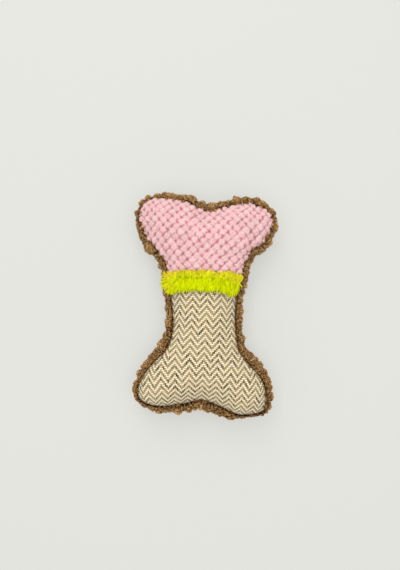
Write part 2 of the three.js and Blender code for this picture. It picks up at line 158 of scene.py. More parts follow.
@dataclass(frozen=True)
class BoneSizes:
    """The sizes that drive the bone, in millimetres and shares, as the frame has them."""

    length: float = 240.0
    width: float = 150.0
    seam_gap: float = 0.3
    edging_show: float = 10.0
    edging_height: float = 22.0
    edging_roll: float = 3.0
    bobble_thickness: float = 4.0
    herringbone_thickness: float = 2.0
    back_thickness: float = 3.0
    back_seam: float = 13.0
    floor_flat: float = 0.5
    crown: float = 16.0
    lobe_swell: float = 2.5
    strip_low: float = 19.0
    strip_high: float = 35.0
    strip_droop: float = 8.0
    crown_power: float = 2.6
    face_turn: float = math.radians(84.0)
    stem_share: float = 0.48
    lobe_start_share: float = 0.36
    lobe_core_shares: Pair = (0.48, 0.72)

    @property
    def front_seam(self) -> float:
        """The height of the seam between the face and the edging."""
        return self.back_seam + self.edging_height

    @property
    def back_stack(self) -> float:
        """The height of the fill's flat underside."""
        return self.back_thickness + self.seam_gap

    @property
    def back_turn(self) -> float:
        """How far round the back's rise its flat begins."""
        return math.asin(1 - self.floor_flat / (self.back_seam + self.floor_flat))

    @property
    def strip_middle(self) -> float:
        """The place of the strip's middle line along the bone."""
        return (self.strip_low + self.strip_high) / 2

    def row(self, places: Points) -> Points:
        """How far along the bone places lie, by the strip's lines, whose ends droop."""
        return places[:, 1] + self.strip_droop * (2 * places[:, 0] / self.width) ** 2


class BoneForm:
    """The stuffed bone's outline, core and domes, as places that meshes are laid on."""

    STEPS = 24  # how finely the outline is drawn between two of its knots

    def __init__(self, sizes: BoneSizes, stations: int = 720) -> None:
        """Lays out the lines round the bone.

        Args:
            sizes: The sizes that drive it.
            stations: How many places round it the lines hold.
        """
        self.sizes = sizes
        self.stations = stations
        half = np.array([sizes.width / 2, sizes.length / 2, sizes.edging_show])
        line = self._closed_curve(np.array(OUTLINE_SHARES) * half)
        low, high = line[:, :2].min(axis=0), line[:, :2].max(axis=0)
        spread = np.array([sizes.width, sizes.length]) / (high - low)
        self.place = (line[:, :2] - (low + high) / 2) * spread
        along = unit(np.roll(self.place, -1, axis=0) - np.roll(self.place, 1, axis=0))
        self.out = np.stack([along[:, 1], -along[:, 0]], axis=1)
        self.beside = self.cover_thickness(self.place[:, 1])
        self.reach = line[:, 2] + self.beside + sizes.seam_gap
        self.edge = self.place - self.out * self.reach[:, None]
        self.lobe = self._lobe_share()
        self.core = self._core()
        steps = np.linalg.norm(np.roll(self.edge, -1, axis=0) - self.edge, axis=1)
        self.girth = float(steps.sum())

    def _closed_curve(self, knots: Points) -> Points:
        """A closed smooth curve through knots, at even spacing.

        Args:
            knots: The places that it goes through.

        Returns:
            One row for each station.
        """

        def span(start: Points, end: Points) -> Points:
            """The square roots of the distances between places."""
            return np.sqrt(np.linalg.norm(end - start, axis=1))[:, None]

        before, after = np.roll(knots, 1, axis=0), np.roll(knots, -1, axis=0)
        later = np.roll(knots, -2, axis=0)
        first, middle, last = span(before, knots), span(knots, after), span(after, later)
        leave = (knots - before) / first - (after - before) / (first + middle)
        leave = (leave + (after - knots) / middle) * middle
        arrive = (after - knots) / middle - (later - knots) / (middle + last)
        arrive = (arrive + (later - after) / last) * middle
        share = np.linspace(0, 1, self.STEPS, endpoint=False)[None, :, None]
        p, q, m, n = (a[:, None, :] for a in (knots, after, leave, arrive))
        fine = (2 * p - 2 * q + m + n) * share**3 + (3 * q - 3 * p - 2 * m - n) * share**2
        fine = (fine + m * share + p).reshape(-1, knots.shape[1])
        closed = np.vstack([fine, fine[:1]])
        travelled = np.linalg.norm(np.diff(closed, axis=0), axis=1)
        travelled = np.concatenate([[0.0], np.cumsum(travelled)])
        wanted = np.linspace(0, travelled[-1], self.stations, endpoint=False)
        return np.stack([np.interp(wanted, travelled, column) for column in closed.T], axis=1)

    def cover_thickness(self, y: Points) -> Points:
        """The face cloth's thickness beside the edging.

        Args:
            y: Places along the bone.

        Returns:
            The thickness at each.
        """
        s = self.sizes
        blend = smoothstep(y, s.strip_low, s.strip_high)
        return lerp(s.herringbone_thickness, s.bobble_thickness, blend)

    def _lobe_share(self) -> Points:
        """How far each station belongs to a lobe.

        Returns:
            From 0 beside the stem to 1 round a lobe.
        """
        s = self.sizes
        lobe_x, lobe_y = s.lobe_core_shares
        across = smoothstep(2 * np.abs(self.place[:, 0]) / s.width, 0, lobe_x)
        along = 2 * np.abs(self.place[:, 1]) / s.length
        return across * smoothstep(along, s.lobe_start_share, lobe_y)

    def _core(self) -> Points:
        """The point of the core that each station faces.

        Returns:
            Its place in plan.
        """
        s = self.sizes
        stem_end = s.stem_share * s.length / 2
        height = np.clip(self.place[:, 1], -stem_end, stem_end)
        stem = np.stack([np.zeros(self.stations), height], axis=1)
        lobe_x, lobe_y = s.lobe_core_shares
        lobes = np.sign(self.place) * np.array([lobe_x * s.width, lobe_y * s.length]) / 2
        return lerp(stem, lobes, self.lobe[:, None])

    def at(self, values: Points, around: Points) -> Points:
        """A line's values at places round the bone.

        Args:
            values: One row, or one number, for each station.
            around: The places, as turns from 0 to 1.

        Returns:
            The values there.
        """
        where = (np.asarray(around) % 1.0) * self.stations
        low = np.floor(where).astype(int) % self.stations
        share = where - np.floor(where)
        if values.ndim > 1:
            share = share[..., None]
        return lerp(values[low], values[(low + 1) % self.stations], share)

    def dome(self, side: Side, around: Points, turn: Points, distance: float) -> Points:
        """Points of a dome.

        Args:
            side: Which of the two domes.
            around: The places round the bone, as turns from 0 to 1.
            turn: How far up the dome each lies, from 0 at the seam to a quarter turn.
            distance: How far outside the fill.

        Returns:
            One point for each place.
        """
        s = self.sizes
        rim = self.at(self.edge, around) + self.at(self.out, around) * distance
        core = self.at(self.core, around)
        out = np.cos(np.clip(turn, 0, math.pi / 2)) ** (2 / s.crown_power)
        plan = lerp(core, rim, out[..., None])
        if side is Side.FACE:
            last, seam = s.face_turn, s.front_seam
            top = seam + s.crown + distance + s.lobe_swell * self.at(self.lobe, around)
        else:
            last, seam, top = s.back_turn, s.back_seam, s.back_stack - distance
        height = lerp(seam, top, np.minimum(np.sin(turn) / math.sin(last), 1.0))
        return np.concatenate([plan, height[..., None]], axis=-1)

    def edging(self, around: Points, turn: Points, swell: float = 0.0) -> Points:
        """Points of the edging's rolled outer skin.

        Args:
            around: The places round the bone, as turns from 0 to 1.
            turn: From a quarter turn at the upper lip to minus a quarter at the lower one.
            swell: How far outside the skin.

        Returns:
            One point for each place.
        """
        s = self.sizes
        face_lip = self.at(self.beside, around) + 2 * s.seam_gap
        lip = np.where(turn > 0, face_lip, s.back_stack + s.seam_gap)
        distance = lerp(lip, self.at(self.reach, around) + swell, np.cos(turn))
        edge = self.at(self.edge, around)
        plan = edge + self.at(self.out, around) * distance[..., None]
        half = s.edging_height / 2
        height = s.back_seam + half + (half + s.edging_roll) * np.sin(turn)
        return np.concatenate([plan, height[..., None]], axis=-1)


class Sheet:
    """A flat sheet of small squares that is laid on the bone and then becomes a piece."""

    def __init__(self, columns: int, rows: int) -> None:
        """Makes the sheet.

        Args:
            columns: How many squares it has along its first side.
            rows: How many it has along its second.
        """
        self.mesh = bmesh.new()
        bmesh.ops.create_grid(self.mesh, x_segments=columns, y_segments=rows, size=0.5)
        self.share = np.array([v.co[:2] for v in self.mesh.verts]) + 0.5

    def place(self, points: Points) -> None:
        """Moves each vertex to its point."""
        for vertex, point in zip(self.mesh.verts, points * MM):
            vertex.co = point

    def keep(self, wanted: Points) -> None:
        """Takes away the vertices that aren't wanted.

        Args:
            wanted: True for each vertex that stays.
        """
        verts = list(self.mesh.verts)
        gone = [vertex for vertex, stays in zip(verts, wanted) if not stays]
        bmesh.ops.delete(self.mesh, geom=gone, context="VERTS")
        self.share = self.share[wanted]

    def merge(self, noted: Points) -> Points:
        """Joins vertices that lie on each other.

        Args:
            noted: A number for each vertex.

        Returns:
            The numbers of the vertices that are left.
        """
        layer = self.mesh.verts.layers.float.new("noted")
        for vertex, number in zip(self.mesh.verts, noted):
            vertex[layer] = number
        bmesh.ops.remove_doubles(self.mesh, verts=self.mesh.verts[:], dist=0.001 * MM)
        left = np.array([vertex[layer] for vertex in self.mesh.verts])
        self.mesh.verts.layers.float.remove(layer)
        return left

    def normals(self) -> Points:
        """The vertices' outward directions, once the sheet lies on the bone."""
        self.mesh.normal_update()
        return np.array([v.normal[:] for v in self.mesh.verts])

    def points(self) -> Points:
        """Where the vertices are."""
        return np.array([v.co[:] for v in self.mesh.verts]) / MM

    def swell(self, lift: Points) -> None:
        """Moves each vertex outwards by its lift."""
        self.place(self.points() + self.normals() * lift[:, None])

    def smooth(self, wanted: Points, times: int) -> None:
        """Smooths part of the sheet.

        Args:
            wanted: True for each vertex that may move.
            times: How many passes it gets.
        """
        verts = [vertex for vertex, moves in zip(self.mesh.verts, wanted) if moves]
        for _ in range(times):
            bmesh.ops.smooth_vert(
                self.mesh, verts=verts, factor=0.5,
                use_axis_x=True, use_axis_y=True, use_axis_z=True,
            )

    def face_outwards(self, outwards: Points) -> None:
        """Turns the faces to the outside, given for each vertex a way out of the bone."""
        if (self.normals() * outwards).sum() < 0:
            bmesh.ops.reverse_faces(self.mesh, faces=self.mesh.faces[:])


class Workshop:
    """Turns meshes and curves into finished pieces of the scene."""

    @staticmethod
    def _final(piece: Piece) -> bpy.types.Mesh:
        """A piece's mesh as its modifiers or its bevel leave it."""
        shaped = piece.evaluated_get(bpy.context.evaluated_depsgraph_get())
        return bpy.data.meshes.new_from_object(shaped)

    @staticmethod
    def _note(mesh: bpy.types.Mesh, values: Marks, each: int = 1) -> None:
        """Writes numbers that a finish reads onto a mesh's vertices.

        Args:
            mesh: The mesh.
            values: The numbers, by name.
            each: How many vertices in a row get the same number.
        """
        for label, numbers in values.items():
            layer = mesh.attributes.new(label, "FLOAT", "POINT")
            every = np.repeat(np.asarray(numbers, dtype=np.float32).ravel(), each)
            layer.data.foreach_set("value", every)

    @staticmethod
    def remove(piece: Piece) -> None:
        """Takes a piece that was only a means out of the scene, and its mesh with it.

        Args:
            piece: The object.
        """
        mesh = piece.data
        bpy.data.objects.remove(piece)
        bpy.data.meshes.remove(mesh)

    @staticmethod
    def link(name: str, mesh: bpy.types.Mesh, material: Material) -> Piece:
        """A mesh as a smooth object with its material.

        Args:
            name: The piece's name.
            mesh: Its mesh.
            material: Its finish.

        Returns:
            The object.
        """
        piece = bpy.data.objects.new(name, mesh)
        bpy.context.scene.collection.objects.link(piece)
        mesh.materials.clear()
        mesh.materials.append(material)
        mesh.polygons.foreach_set("use_smooth", [True] * len(mesh.polygons))
        return piece

    @classmethod
    def from_bmesh(
        cls, name: str, source: bmesh.types.BMesh, material: Material,
        values: Marks | None = None, flat: Points | None = None,
    ) -> Piece:
        """A piece from a bmesh, which is used up.

        Args:
            name: The piece's name.
            source: Its shape.
            material: Its finish.
            values: The numbers that the finish reads, by name.
            flat: Where each vertex lies on the flat cloth, for the cloth's map.

        Returns:
            The object.
        """
        mesh = bpy.data.meshes.new(name)
        source.to_mesh(mesh)
        source.free()
        cls._note(mesh, values or {})
        if flat is not None:
            corners = np.empty(len(mesh.loops), dtype=np.int32)
            mesh.loops.foreach_get("vertex_index", corners)
            layer = mesh.uv_layers.new(name="cloth")
            layer.uv.foreach_set("vector", (flat[corners] * MM).astype(np.float32).ravel())
        return cls.link(name, mesh, material)

    @classmethod
    def settled(cls, piece: Piece) -> Piece:
        """The piece with its modifiers made final.

        Args:
            piece: The object.

        Returns:
            The same object.
        """
        mesh = cls._final(piece)
        piece.modifiers.clear()
        former, piece.data = piece.data, mesh
        mesh.name = former.name
        bpy.data.meshes.remove(former)
        return piece

    @classmethod
    def remeshed(cls, piece: Piece, voxel: float) -> Piece:
        """The piece as one closed skin of even small squares.

        Args:
            piece: The object.
            voxel: The squares' side.

        Returns:
            The same object.
        """
        remesh = piece.modifiers.new("voxels", "REMESH")
        remesh.mode = "VOXEL"
        remesh.voxel_size = voxel * MM
        return cls.settled(piece)

    @classmethod
    def lined(cls, piece: Piece, thickness: float) -> Piece:
        """The piece with an inner side, so that it is a closed cloth.

        Args:
            piece: The object.
            thickness: The cloth's.

        Returns:
            The same object.
        """
        lining = piece.modifiers.new("lining", "SOLIDIFY")
        lining.thickness = thickness * MM
        lining.offset = -1.0
        return cls.settled(piece)

    @classmethod
    def strands(
        cls, name: str, lines: Points, radii: Points, material: Material, values: Marks
    ) -> Piece:
        """Many thin round strands as one piece.

        Args:
            name: The piece's name.
            lines: Their points, strand by strand.
            radii: Their radius at each point.
            material: Their finish.
            values: Numbers for each point that the finish reads, by name.

        Returns:
            The object.
        """
        curve = bpy.data.curves.new(name, "CURVE")
        curve.dimensions = "3D"
        curve.bevel_depth = MM
        curve.bevel_resolution = 0
        count, points = lines.shape[:2]
        places = np.concatenate([lines * MM, np.ones((count, points, 1))], axis=2)
        for place, radius in zip(places.astype(np.float32), radii.astype(np.float32)):
            spline = curve.splines.new("POLY")
            spline.points.add(points - 1)
            spline.points.foreach_set("co", place.ravel())
            spline.points.foreach_set("radius", radius)
        holder = bpy.data.objects.new(name, curve)
        bpy.context.scene.collection.objects.link(holder)
        mesh = cls._final(holder)
        bpy.data.objects.remove(holder)
        bpy.data.curves.remove(curve)
        mesh.name = name
        cls._note(mesh, values, each=len(mesh.vertices) // (count * points))
        return cls.link(name, mesh, material)


class StuffedBody:
    """The stuffed bone as one balloon, blown up between its seams by a cloth simulation."""

    SKIN = {Side.FACE: 4.3, Side.BACK: 3.3}  # how far outside the fill the plain skin lies
    columns: int = 180
    band: int = 12
    turn: float = math.radians(86)
    seam_reach: float = 0.8
    ray_start: float = 12.0
    ray_length: float = 30.0
    slack: float = 0.5
    voxel: float = 4.0
    pressure: float = 1200.0
    frames: int = 20
    cap: float = 5.0
    sink: float = 0.8

    def __init__(self, form: BoneForm) -> None:
        self.form = form
        self.tree: BVHTree | None = self._blown_up()

    def _closed_skin(self) -> Piece:
        """The skin of back, side and face as one closed mesh, its face a little slack.

        Returns:
            The skin as an object.
        """
        form, sizes = self.form, self.form.sizes
        sheet = Sheet(self.columns, 3 * self.band)
        around, along = sheet.share[:, 0], sheet.share[:, 1] * 3 * self.band
        starts = (k * self.band for k in range(3))
        first, second, third = (np.clip((along - low) / self.band, 0, 1) for low in starts)
        back = form.dome(Side.BACK, around, self.turn * (1 - first), self.SKIN[Side.BACK])
        face = form.dome(Side.FACE, around, self.turn * third, self.SKIN[Side.FACE])
        face[:, 2] -= self.slack * (face[:, 2] - sizes.front_seam) / sizes.crown
        side = form.edging(around, math.pi * (second - 0.5))
        side[:, 2] = np.clip(side[:, 2], sizes.back_seam, sizes.front_seam)
        points = np.where((along < self.band)[:, None], back, side)
        sheet.place(np.where((along > 2 * self.band)[:, None], face, points))
        bmesh.ops.remove_doubles(sheet.mesh, verts=sheet.mesh.verts[:], dist=0.02 * MM)
        bmesh.ops.holes_fill(sheet.mesh, edges=sheet.mesh.edges[:])
        bmesh.ops.triangulate(sheet.mesh, faces=[f for f in sheet.mesh.faces if len(f.verts) > 4])
        bmesh.ops.recalc_face_normals(sheet.mesh, faces=sheet.mesh.faces[:])
        return Workshop.from_bmesh("body_skin", sheet.mesh, bpy.data.materials.new("body_skin"))

    def _seam_group(self, body: Piece) -> str:
        """Marks the vertices that the two seams hold.

        Args:
            body: The body after its remesh.

        Returns:
            The name of the vertex group.
        """
        around = np.linspace(0, 1, self.form.stations, endpoint=False)
        away = self.SKIN[Side.BACK]
        rims = [self.form.dome(side, around, np.zeros_like(around), away) for side in Side]
        tree = nearest(np.vstack(rims) * MM)
        near = self.seam_reach * self.voxel * MM
        held = [v.index for v in body.data.vertices if tree.find(v.co)[2] < near]
        group = body.vertex_groups.new(name="seams")
        group.add(held, 1.0, "REPLACE")
        return group.name

    def _blown_up(self) -> BVHTree:
        """Runs the simulation.

        Returns:
            The blown-up skin, for looking up.
        """
        body = Workshop.remeshed(self._closed_skin(), self.voxel)
        cloth = body.modifiers.new("cloth", "CLOTH")
        settings = cloth.settings
        settings.vertex_group_mass = self._seam_group(body)
        settings.quality = 6
        settings.mass = 0.1
        settings.tension_stiffness = settings.compression_stiffness = 15.0
        settings.bending_stiffness = 0.2
        settings.use_pressure = True
        settings.uniform_pressure_force = self.pressure
        settings.effector_weights.gravity = 0.0
        cloth.collision_settings.use_collision = False
        cloth.point_cache.frame_start = 1
        cloth.point_cache.frame_end = self.frames
        scene = bpy.context.scene
        for frame in range(1, self.frames + 1):
            scene.frame_set(frame)
            bpy.context.view_layer.update()
        rest = np.array([v.co[:] for v in body.data.vertices])
        shaped = body.evaluated_get(bpy.context.evaluated_depsgraph_get())
        drift = np.array([v.co[:] for v in shaped.data.vertices]) - rest
        length = np.linalg.norm(drift, axis=1, keepdims=True)
        drift *= np.minimum(1.0, self.cap * MM / np.maximum(length, 1e-9))
        LOG.info("the simulation moved the skin by up to %.1f mm", float(length.max()) / MM)
        body.modifiers.clear()
        scene.frame_set(1)
        body.data.vertices.foreach_set("co", (rest + drift).ravel())
        smooth = body.modifiers.new("smooth", "SUBSURF")
        smooth.levels = smooth.render_levels = 1
        Workshop.settled(body)
        whole = bmesh.new()
        whole.from_mesh(body.data)
        tree = BVHTree.FromBMesh(whole)
        whole.free()
        Workshop.remove(body)
        return tree

    def moves(self, points: Points, normals: Points) -> Points:
        """How far the blown-up skin lies outside places of the plain skin.

        Args:
            points: The plain places.
            normals: Their outward directions.

        Returns:
            One move for each place.
        """
        moves = np.zeros(len(points))
        if self.tree is None:
            return moves
        for index, (point, normal) in enumerate(zip(points, normals)):
            start = Vector((point + normal * self.ray_start) * MM)
            hit = self.tree.ray_cast(start, Vector(-normal), self.ray_length * MM)
            if hit[0] is not None:
                moves[index] = self.ray_start - hit[3] / MM
        return np.clip(moves, -self.sink, self.cap)


class FlatCloth:
    """A dome's cloth laid flat, and the way from a place on it back to the dome.

    Each place holds its point, how far inside the seam it is along the cloth, and the cosine and
    sine of its place round the bone.
    """

    stations: int = 360
    rows: int = 28
    tuck: float = 4.0
    calm: float = 12.0
    floor_calm: Pair = (2.0, 9.0)
    softened: int = 8
    steep: float = 16.0
    passes: int = 40

    def __init__(self, form: BoneForm, body: StuffedBody, side: Side, distance: float) -> None:
        """Lays the cloth flat.

        Args:
            form: The bone's lines and domes.
            body: The blown-up body that the cloth follows.
            side: Which dome the cloth covers.
            distance: How far outside the fill it lies.
        """
        self.form, self.side = form, side
        sizes = form.sizes
        last = sizes.face_turn if side is Side.FACE else sizes.back_turn
        up = 1.0 if side is Side.FACE else -1.0
        line = np.linspace(0, 1, self.stations, endpoint=False)
        turns, around = np.meshgrid(np.linspace(last, 0, self.rows), line, indexing="ij")
        place = form.dome(side, around, turns, distance)
        steps = np.linalg.norm(np.diff(place, axis=0), axis=2)
        travelled = np.vstack([np.zeros(self.stations), np.cumsum(steps, axis=0)])
        away = unit(place[-1, :, :2] - form.at(form.core, line))
        flat = place[0, :, :2] + away * travelled[..., None]
        inward = travelled[-1] - travelled
        skin = form.dome(side, around, turns, body.SKIN[side])
        place = self._puffed(body, skin, place, inward)
        tucks = np.array([self.tuck / 2, self.tuck])[:, None]
        below = np.repeat(place[-1:], 2, axis=0)
        below[..., 2] -= up * tucks
        self.flat = np.concatenate([flat, flat[-1] + away * tucks[..., None]]).reshape(-1, 2)
        place = np.concatenate([place, below])
        inward = np.concatenate([inward, np.repeat(-tucks, self.stations, axis=1)])
        angle = 2 * math.pi * np.broadcast_to(line, inward.shape)
        channels = [place, inward[..., None], np.cos(angle)[..., None], np.sin(angle)[..., None]]
        self.values = np.concatenate(channels, axis=2).reshape(-1, SINE + 1)
        self._triangulate()

    def _puffed(self, body: StuffedBody, skin: Points, place: Points, inward: Points) -> Points:
        """The cloth's places moved with the blown-up body.

        Args:
            body: The blown-up body.
            skin: The plain skin's places, from the core out.
            place: The cloth's own places there.
            inward: How far inside the seam they are.

        Returns:
            The moved places.
        """
        rung = np.gradient(skin, axis=0)
        across = np.roll(skin, -1, axis=1) - np.roll(skin, 1, axis=1)
        normals = unit(np.cross(rung, across))
        if (normals[0, :, 2].mean() > 0) is not (self.side is Side.FACE):
            normals = -normals
        moves = body.moves(skin.reshape(-1, 3), normals.reshape(-1, 3)).reshape(inward.shape)
        moves = moves * smoothstep(inward, 0.0, self.calm)
        if self.side is Side.BACK:
            moves = moves * smoothstep(place[..., 2], *self.floor_calm)
        for _ in range(self.softened):
            moves = (np.roll(moves, 1, axis=1) + 2 * moves + np.roll(moves, -1, axis=1)) / 4
            padded = np.vstack([moves[:1], moves, moves[-1:]])
            moves = (padded[:-2] + 2 * moves + padded[2:]) / 4
        return place + normals * moves[..., None]

    def _triangulate(self) -> None:
        """Joins the flat places into triangles, with the core closed over."""
        rim = len(self.flat) - self.stations
        ring = [(rim + k, rim + (k + 1) % self.stations) for k in range(self.stations)]
        plan = [Vector(place) for place in self.flat]
        found = delaunay_2d_cdt(plan, ring, [], 1, 1e-5)
        corners, triangles, origins = found[0], found[2], found[3]
        source = np.array([origin[0] if origin else -1 for origin in origins])
        near = nearest([(*place, 0) for place in plan])
        for index in np.nonzero(source < 0)[0]:
            source[index] = near.find((*corners[index], 0))[1]
        self.corners = np.array([corner[:] for corner in corners])
        self.values = self.values[source]
        self.triangles = np.array(triangles)
        lifted = [(*corner, 0.0) for corner in corners]
        self.tree = BVHTree.FromPolygons(lifted, triangles)

    def look_up(self, flat: Points) -> tuple[Points, Points]:
        """Finds places of the flat cloth on the dome.

        Args:
            flat: The places.

        Returns:
            Whether each place is on the cloth, and what the dome holds there.
        """
        down = Vector((0, 0, -1))
        hits = [self.tree.ray_cast(Vector((x, y, 1.0)), down)[2] for x, y in flat]
        found = np.array([hit is not None for hit in hits])
        chosen = self.triangles[[hit or 0 for hit in hits]]
        a, b, c = (self.corners[chosen[:, k]] for k in range(3))
        ab, ac, ap = b - a, c - a, flat - a
        area = ab[:, 0] * ac[:, 1] - ab[:, 1] * ac[:, 0]
        second = (ap[:, 0] * ac[:, 1] - ap[:, 1] * ac[:, 0]) / area
        third = (ab[:, 0] * ap[:, 1] - ab[:, 1] * ap[:, 0]) / area
        shares = np.stack([1 - second - third, second, third], axis=1)
        return found, (self.values[chosen] * shares[..., None]).sum(axis=1)

    def sheet(
        self, spacing: float, low: Pair, high: Pair, rows: Pair = (-math.inf, math.inf)
    ) -> tuple[Sheet, Points, Points]:
        """A sheet of small squares laid on the dome, smooth inside the face's steep rim.

        Args:
            spacing: The squares' side.
            low: The lowest place of the flat cloth that it may cover.
            high: The highest.
            rows: Between which of the strip's lines the vertices stay.

        Returns:
            The sheet, its vertices' flat places, and what the dome holds there.
        """
        corner, span = np.array(low), np.array(high) - np.array(low)
        sheet = Sheet(*(int(round(length / spacing)) for length in span))
        flat = corner + sheet.share * span
        found, values = self.look_up(flat)
        row = self.form.sizes.row(values)
        stays = found & (row > rows[0]) & (row < rows[1])
        sheet.keep(stays)
        flat, values = flat[stays], values[stays]
        sheet.place(values[:, :3])
        face = self.side is Side.FACE
        if face:
            sheet.smooth(values[:, INWARD] > self.steep, self.passes)
        sheet.face_outwards(np.array([0, 0, 1.0 if face else -1.0]))
        return sheet, flat, values


def paint(red: int, green: int, blue: int) -> Colour:
    """A colour in linear shares, from how it shows on a screen in numbers up to 255."""
    shares = (channel / 255 for channel in (red, green, blue))
    return (*(s / 12.92 if s <= 0.04045 else ((s + 0.055) / 1.055) ** 2.4 for s in shares), 1.0)


class Graph:
    """A node tree with short ways to add to it."""

    def __init__(self, tree: bpy.types.NodeTree) -> None:
        """Takes the tree that the nodes go into."""
        self.tree = tree

    def put(self, socket: Socket, value: Value) -> None:
        """Links a socket to another, or sets its number or colour.

        Args:
            socket: The socket.
            value: The other socket, or what it is set to.
        """
        if isinstance(value, bpy.types.NodeSocket):
            self.tree.links.new(value, socket)
        else:
            socket.default_value = value

    def add(self, kind: str, inputs: dict[str | int, Value], **settings: object) -> bpy.types.Node:
        """Adds a node.

        Args:
            kind: Its type, without the common beginning.
            inputs: What its sockets get, by name or place.
            **settings: Its own settings.

        Returns:
            The node.
        """
        node = self.tree.nodes.new("ShaderNode" + kind)
        for name, value in settings.items():
            setattr(node, name, value)
        for name, value in inputs.items():
            self.put(node.inputs[name], value)
        return node

    def cover(self, shader: bpy.types.Node, colour: Value, rough: Value, normal: Value) -> None:
        """Gives a shader its colour, its roughness and its normal."""
        for name, value in (("Base Color", colour), ("Roughness", rough), ("Normal", normal)):
            self.put(shader.inputs[name], value)

    def looked_at(self) -> Socket:
        """1 where something is seen, in a gloss or through glass too, and 0 where it gives light.

        Returns:
            The socket.
        """
        path = self.add("LightPath", {}).outputs
        straight = self.math("MAXIMUM", path["Is Camera Ray"], path["Is Glossy Ray"])
        return self.math("MAXIMUM", straight, path["Is Transmission Ray"])

    def math(self, operation: str, *values: Value) -> Socket:
        """The result of a Math node."""
        return self.add("Math", dict(enumerate(values)), operation=operation).outputs[0]

    def range(
        self, value: Value, low: float = 0, high: float = 1, start: float = 0, end: float = 1
    ) -> Socket:
        """A value moved from the span of low and high to that of start and end, and held there."""
        inputs = {"Value": value, 1: low, 2: high, 3: start, 4: end}
        return self.add("MapRange", inputs).outputs[0]

    def mix(self, share: Value, first: Value, second: Value, blend: str = "MIX") -> Socket:
        """Two colours mixed."""
        inputs = {0: share, 6: first, 7: second}
        return self.add("Mix", inputs, data_type="RGBA", blend_type=blend).outputs[2]

    def toned(self, colour: Value, tone: Value) -> Socket:
        """A colour made darker or lighter by a number."""
        grey = self.add("CombineColor", dict.fromkeys(range(3), tone)).outputs[0]
        return self.mix(1.0, colour, grey, "MULTIPLY")

    def attribute(self, name: str) -> Socket:
        """A number that the piece's vertices hold."""
        return self.add("Attribute", {}, attribute_name=name).outputs["Fac"]

    def place(self) -> Socket:
        """The piece's own coordinates, in metres."""
        return self.add("TexCoord", {}).outputs["Object"]

    def noise(
        self, vector: Value, scale: Value, detail: float = 2.0, distortion: float = 0.0
    ) -> Socket:
        """Noise from 0 to 1."""
        inputs = {"Vector": vector, "Scale": scale, "Detail": detail, "Distortion": distortion}
        return self.add("TexNoise", inputs).outputs["Fac"]

    def bump(self, height: Socket, distance: float, strength: float = 1.0) -> Socket:
        """A normal from a height that rises by the distance, in metres."""
        inputs = {"Height": height, "Distance": distance, "Strength": strength}
        return self.add("Bump", inputs).outputs[0]


class SharedEffects:
    """Effects that more than one finish uses, each one node group."""

    @staticmethod
    def _placed(
        graph: Graph, name: str, inputs: dict[str, Value], outputs: tuple[str, str],
        fill: Callable[..., tuple[Socket, Socket]],
    ) -> tuple[Socket, Socket]:
        """Places a group, which is made at its first use.

        Args:
            graph: The material's nodes.
            name: The group's name.
            inputs: What its inputs get here, by name: first a vector, then numbers.
            outputs: The names of its two outputs, which are numbers.
            fill: Makes what the outputs take, from the group's own graph and its inputs.

        Returns:
            The placed group's outputs.
        """
        tree = bpy.data.node_groups.get(name)
        if tree is None:
            tree = bpy.data.node_groups.new(name, "ShaderNodeTree")
            for label in inputs:
                kind = "NodeSocketVector" if label == "Vector" else "NodeSocketFloat"
                tree.interface.new_socket(label, in_out="INPUT", socket_type=kind)
            for label in outputs:
                tree.interface.new_socket(label, in_out="OUTPUT", socket_type="NodeSocketFloat")
            start, end = tree.nodes.new("NodeGroupInput"), tree.nodes.new("NodeGroupOutput")
            inner = Graph(tree)
            made = fill(inner, *(start.outputs[label] for label in inputs))
            for label, value in zip(outputs, made):
                inner.put(end.inputs[label], value)
        node = graph.add("Group", inputs, node_tree=tree)
        return node.outputs[outputs[0]], node.outputs[outputs[1]]

    @classmethod
    def nap(cls, graph: Graph, fibre: float, mottle: float) -> tuple[Socket, Socket]:
        """The fine fibres of a cloth and its wider mottling.

        Args:
            graph: The material's nodes.
            fibre: How many fibres there are to a metre.
            mottle: How many patches there are to a metre.

        Returns:
            The fibres' height and the mottling, both from 0 to 1.
        """

        def fill(inner: Graph, place: Socket, fine: Socket, wide: Socket) -> tuple[Socket, Socket]:
            """The group's two outputs."""
            hairs, patches = inner.noise(place, fine, 3.0, 1.2), inner.noise(place, wide, 4.0)
            return inner.range(hairs, 0.3, 0.7), inner.range(patches, 0.3, 0.7)

        inputs = {"Vector": graph.place(), "Fibre": fibre, "Mottle": mottle}
        return cls._placed(graph, "cloth_nap", inputs, ("Height", "Patches"), fill)

    @classmethod
    def moulding(cls, graph: Graph, grain: float) -> tuple[Socket, Socket]:
        """The grain and dull patches of moulded plastic.

        Args:
            graph: The material's nodes.
            grain: How many grains there are to a metre.

        Returns:
            The grain's height and the dullness, both from 0 to 1.
        """

        def fill(inner: Graph, place: Socket, fine: Socket) -> tuple[Socket, Socket]:
            """The group's two outputs."""
            dull = inner.noise(place, 140.0, 3.0)
            return inner.noise(place, fine), inner.range(dull, 0.35, 0.65)

        inputs = {"Vector": graph.place(), "Grain": grain}
        return cls._placed(graph, "moulded_grain", inputs, ("Height", "Dull"), fill)


def new_finish(name: str, plain: dict[str, Value]) -> tuple[Material, Graph, bpy.types.Node]:
    """Starts a material.

    Args:
        name: The finish's name.
        plain: The numbers that are the same all over the surface, by the shader's socket.

    Returns:
        The material, its nodes and its shader.
    """
    material = bpy.data.materials.new(name)
    material.use_nodes = True
    graph = Graph(material.node_tree)
    shader = material.node_tree.nodes["Principled BSDF"]
    for socket, value in plain.items():
        shader.inputs[socket].default_value = value
    return material, graph, shader


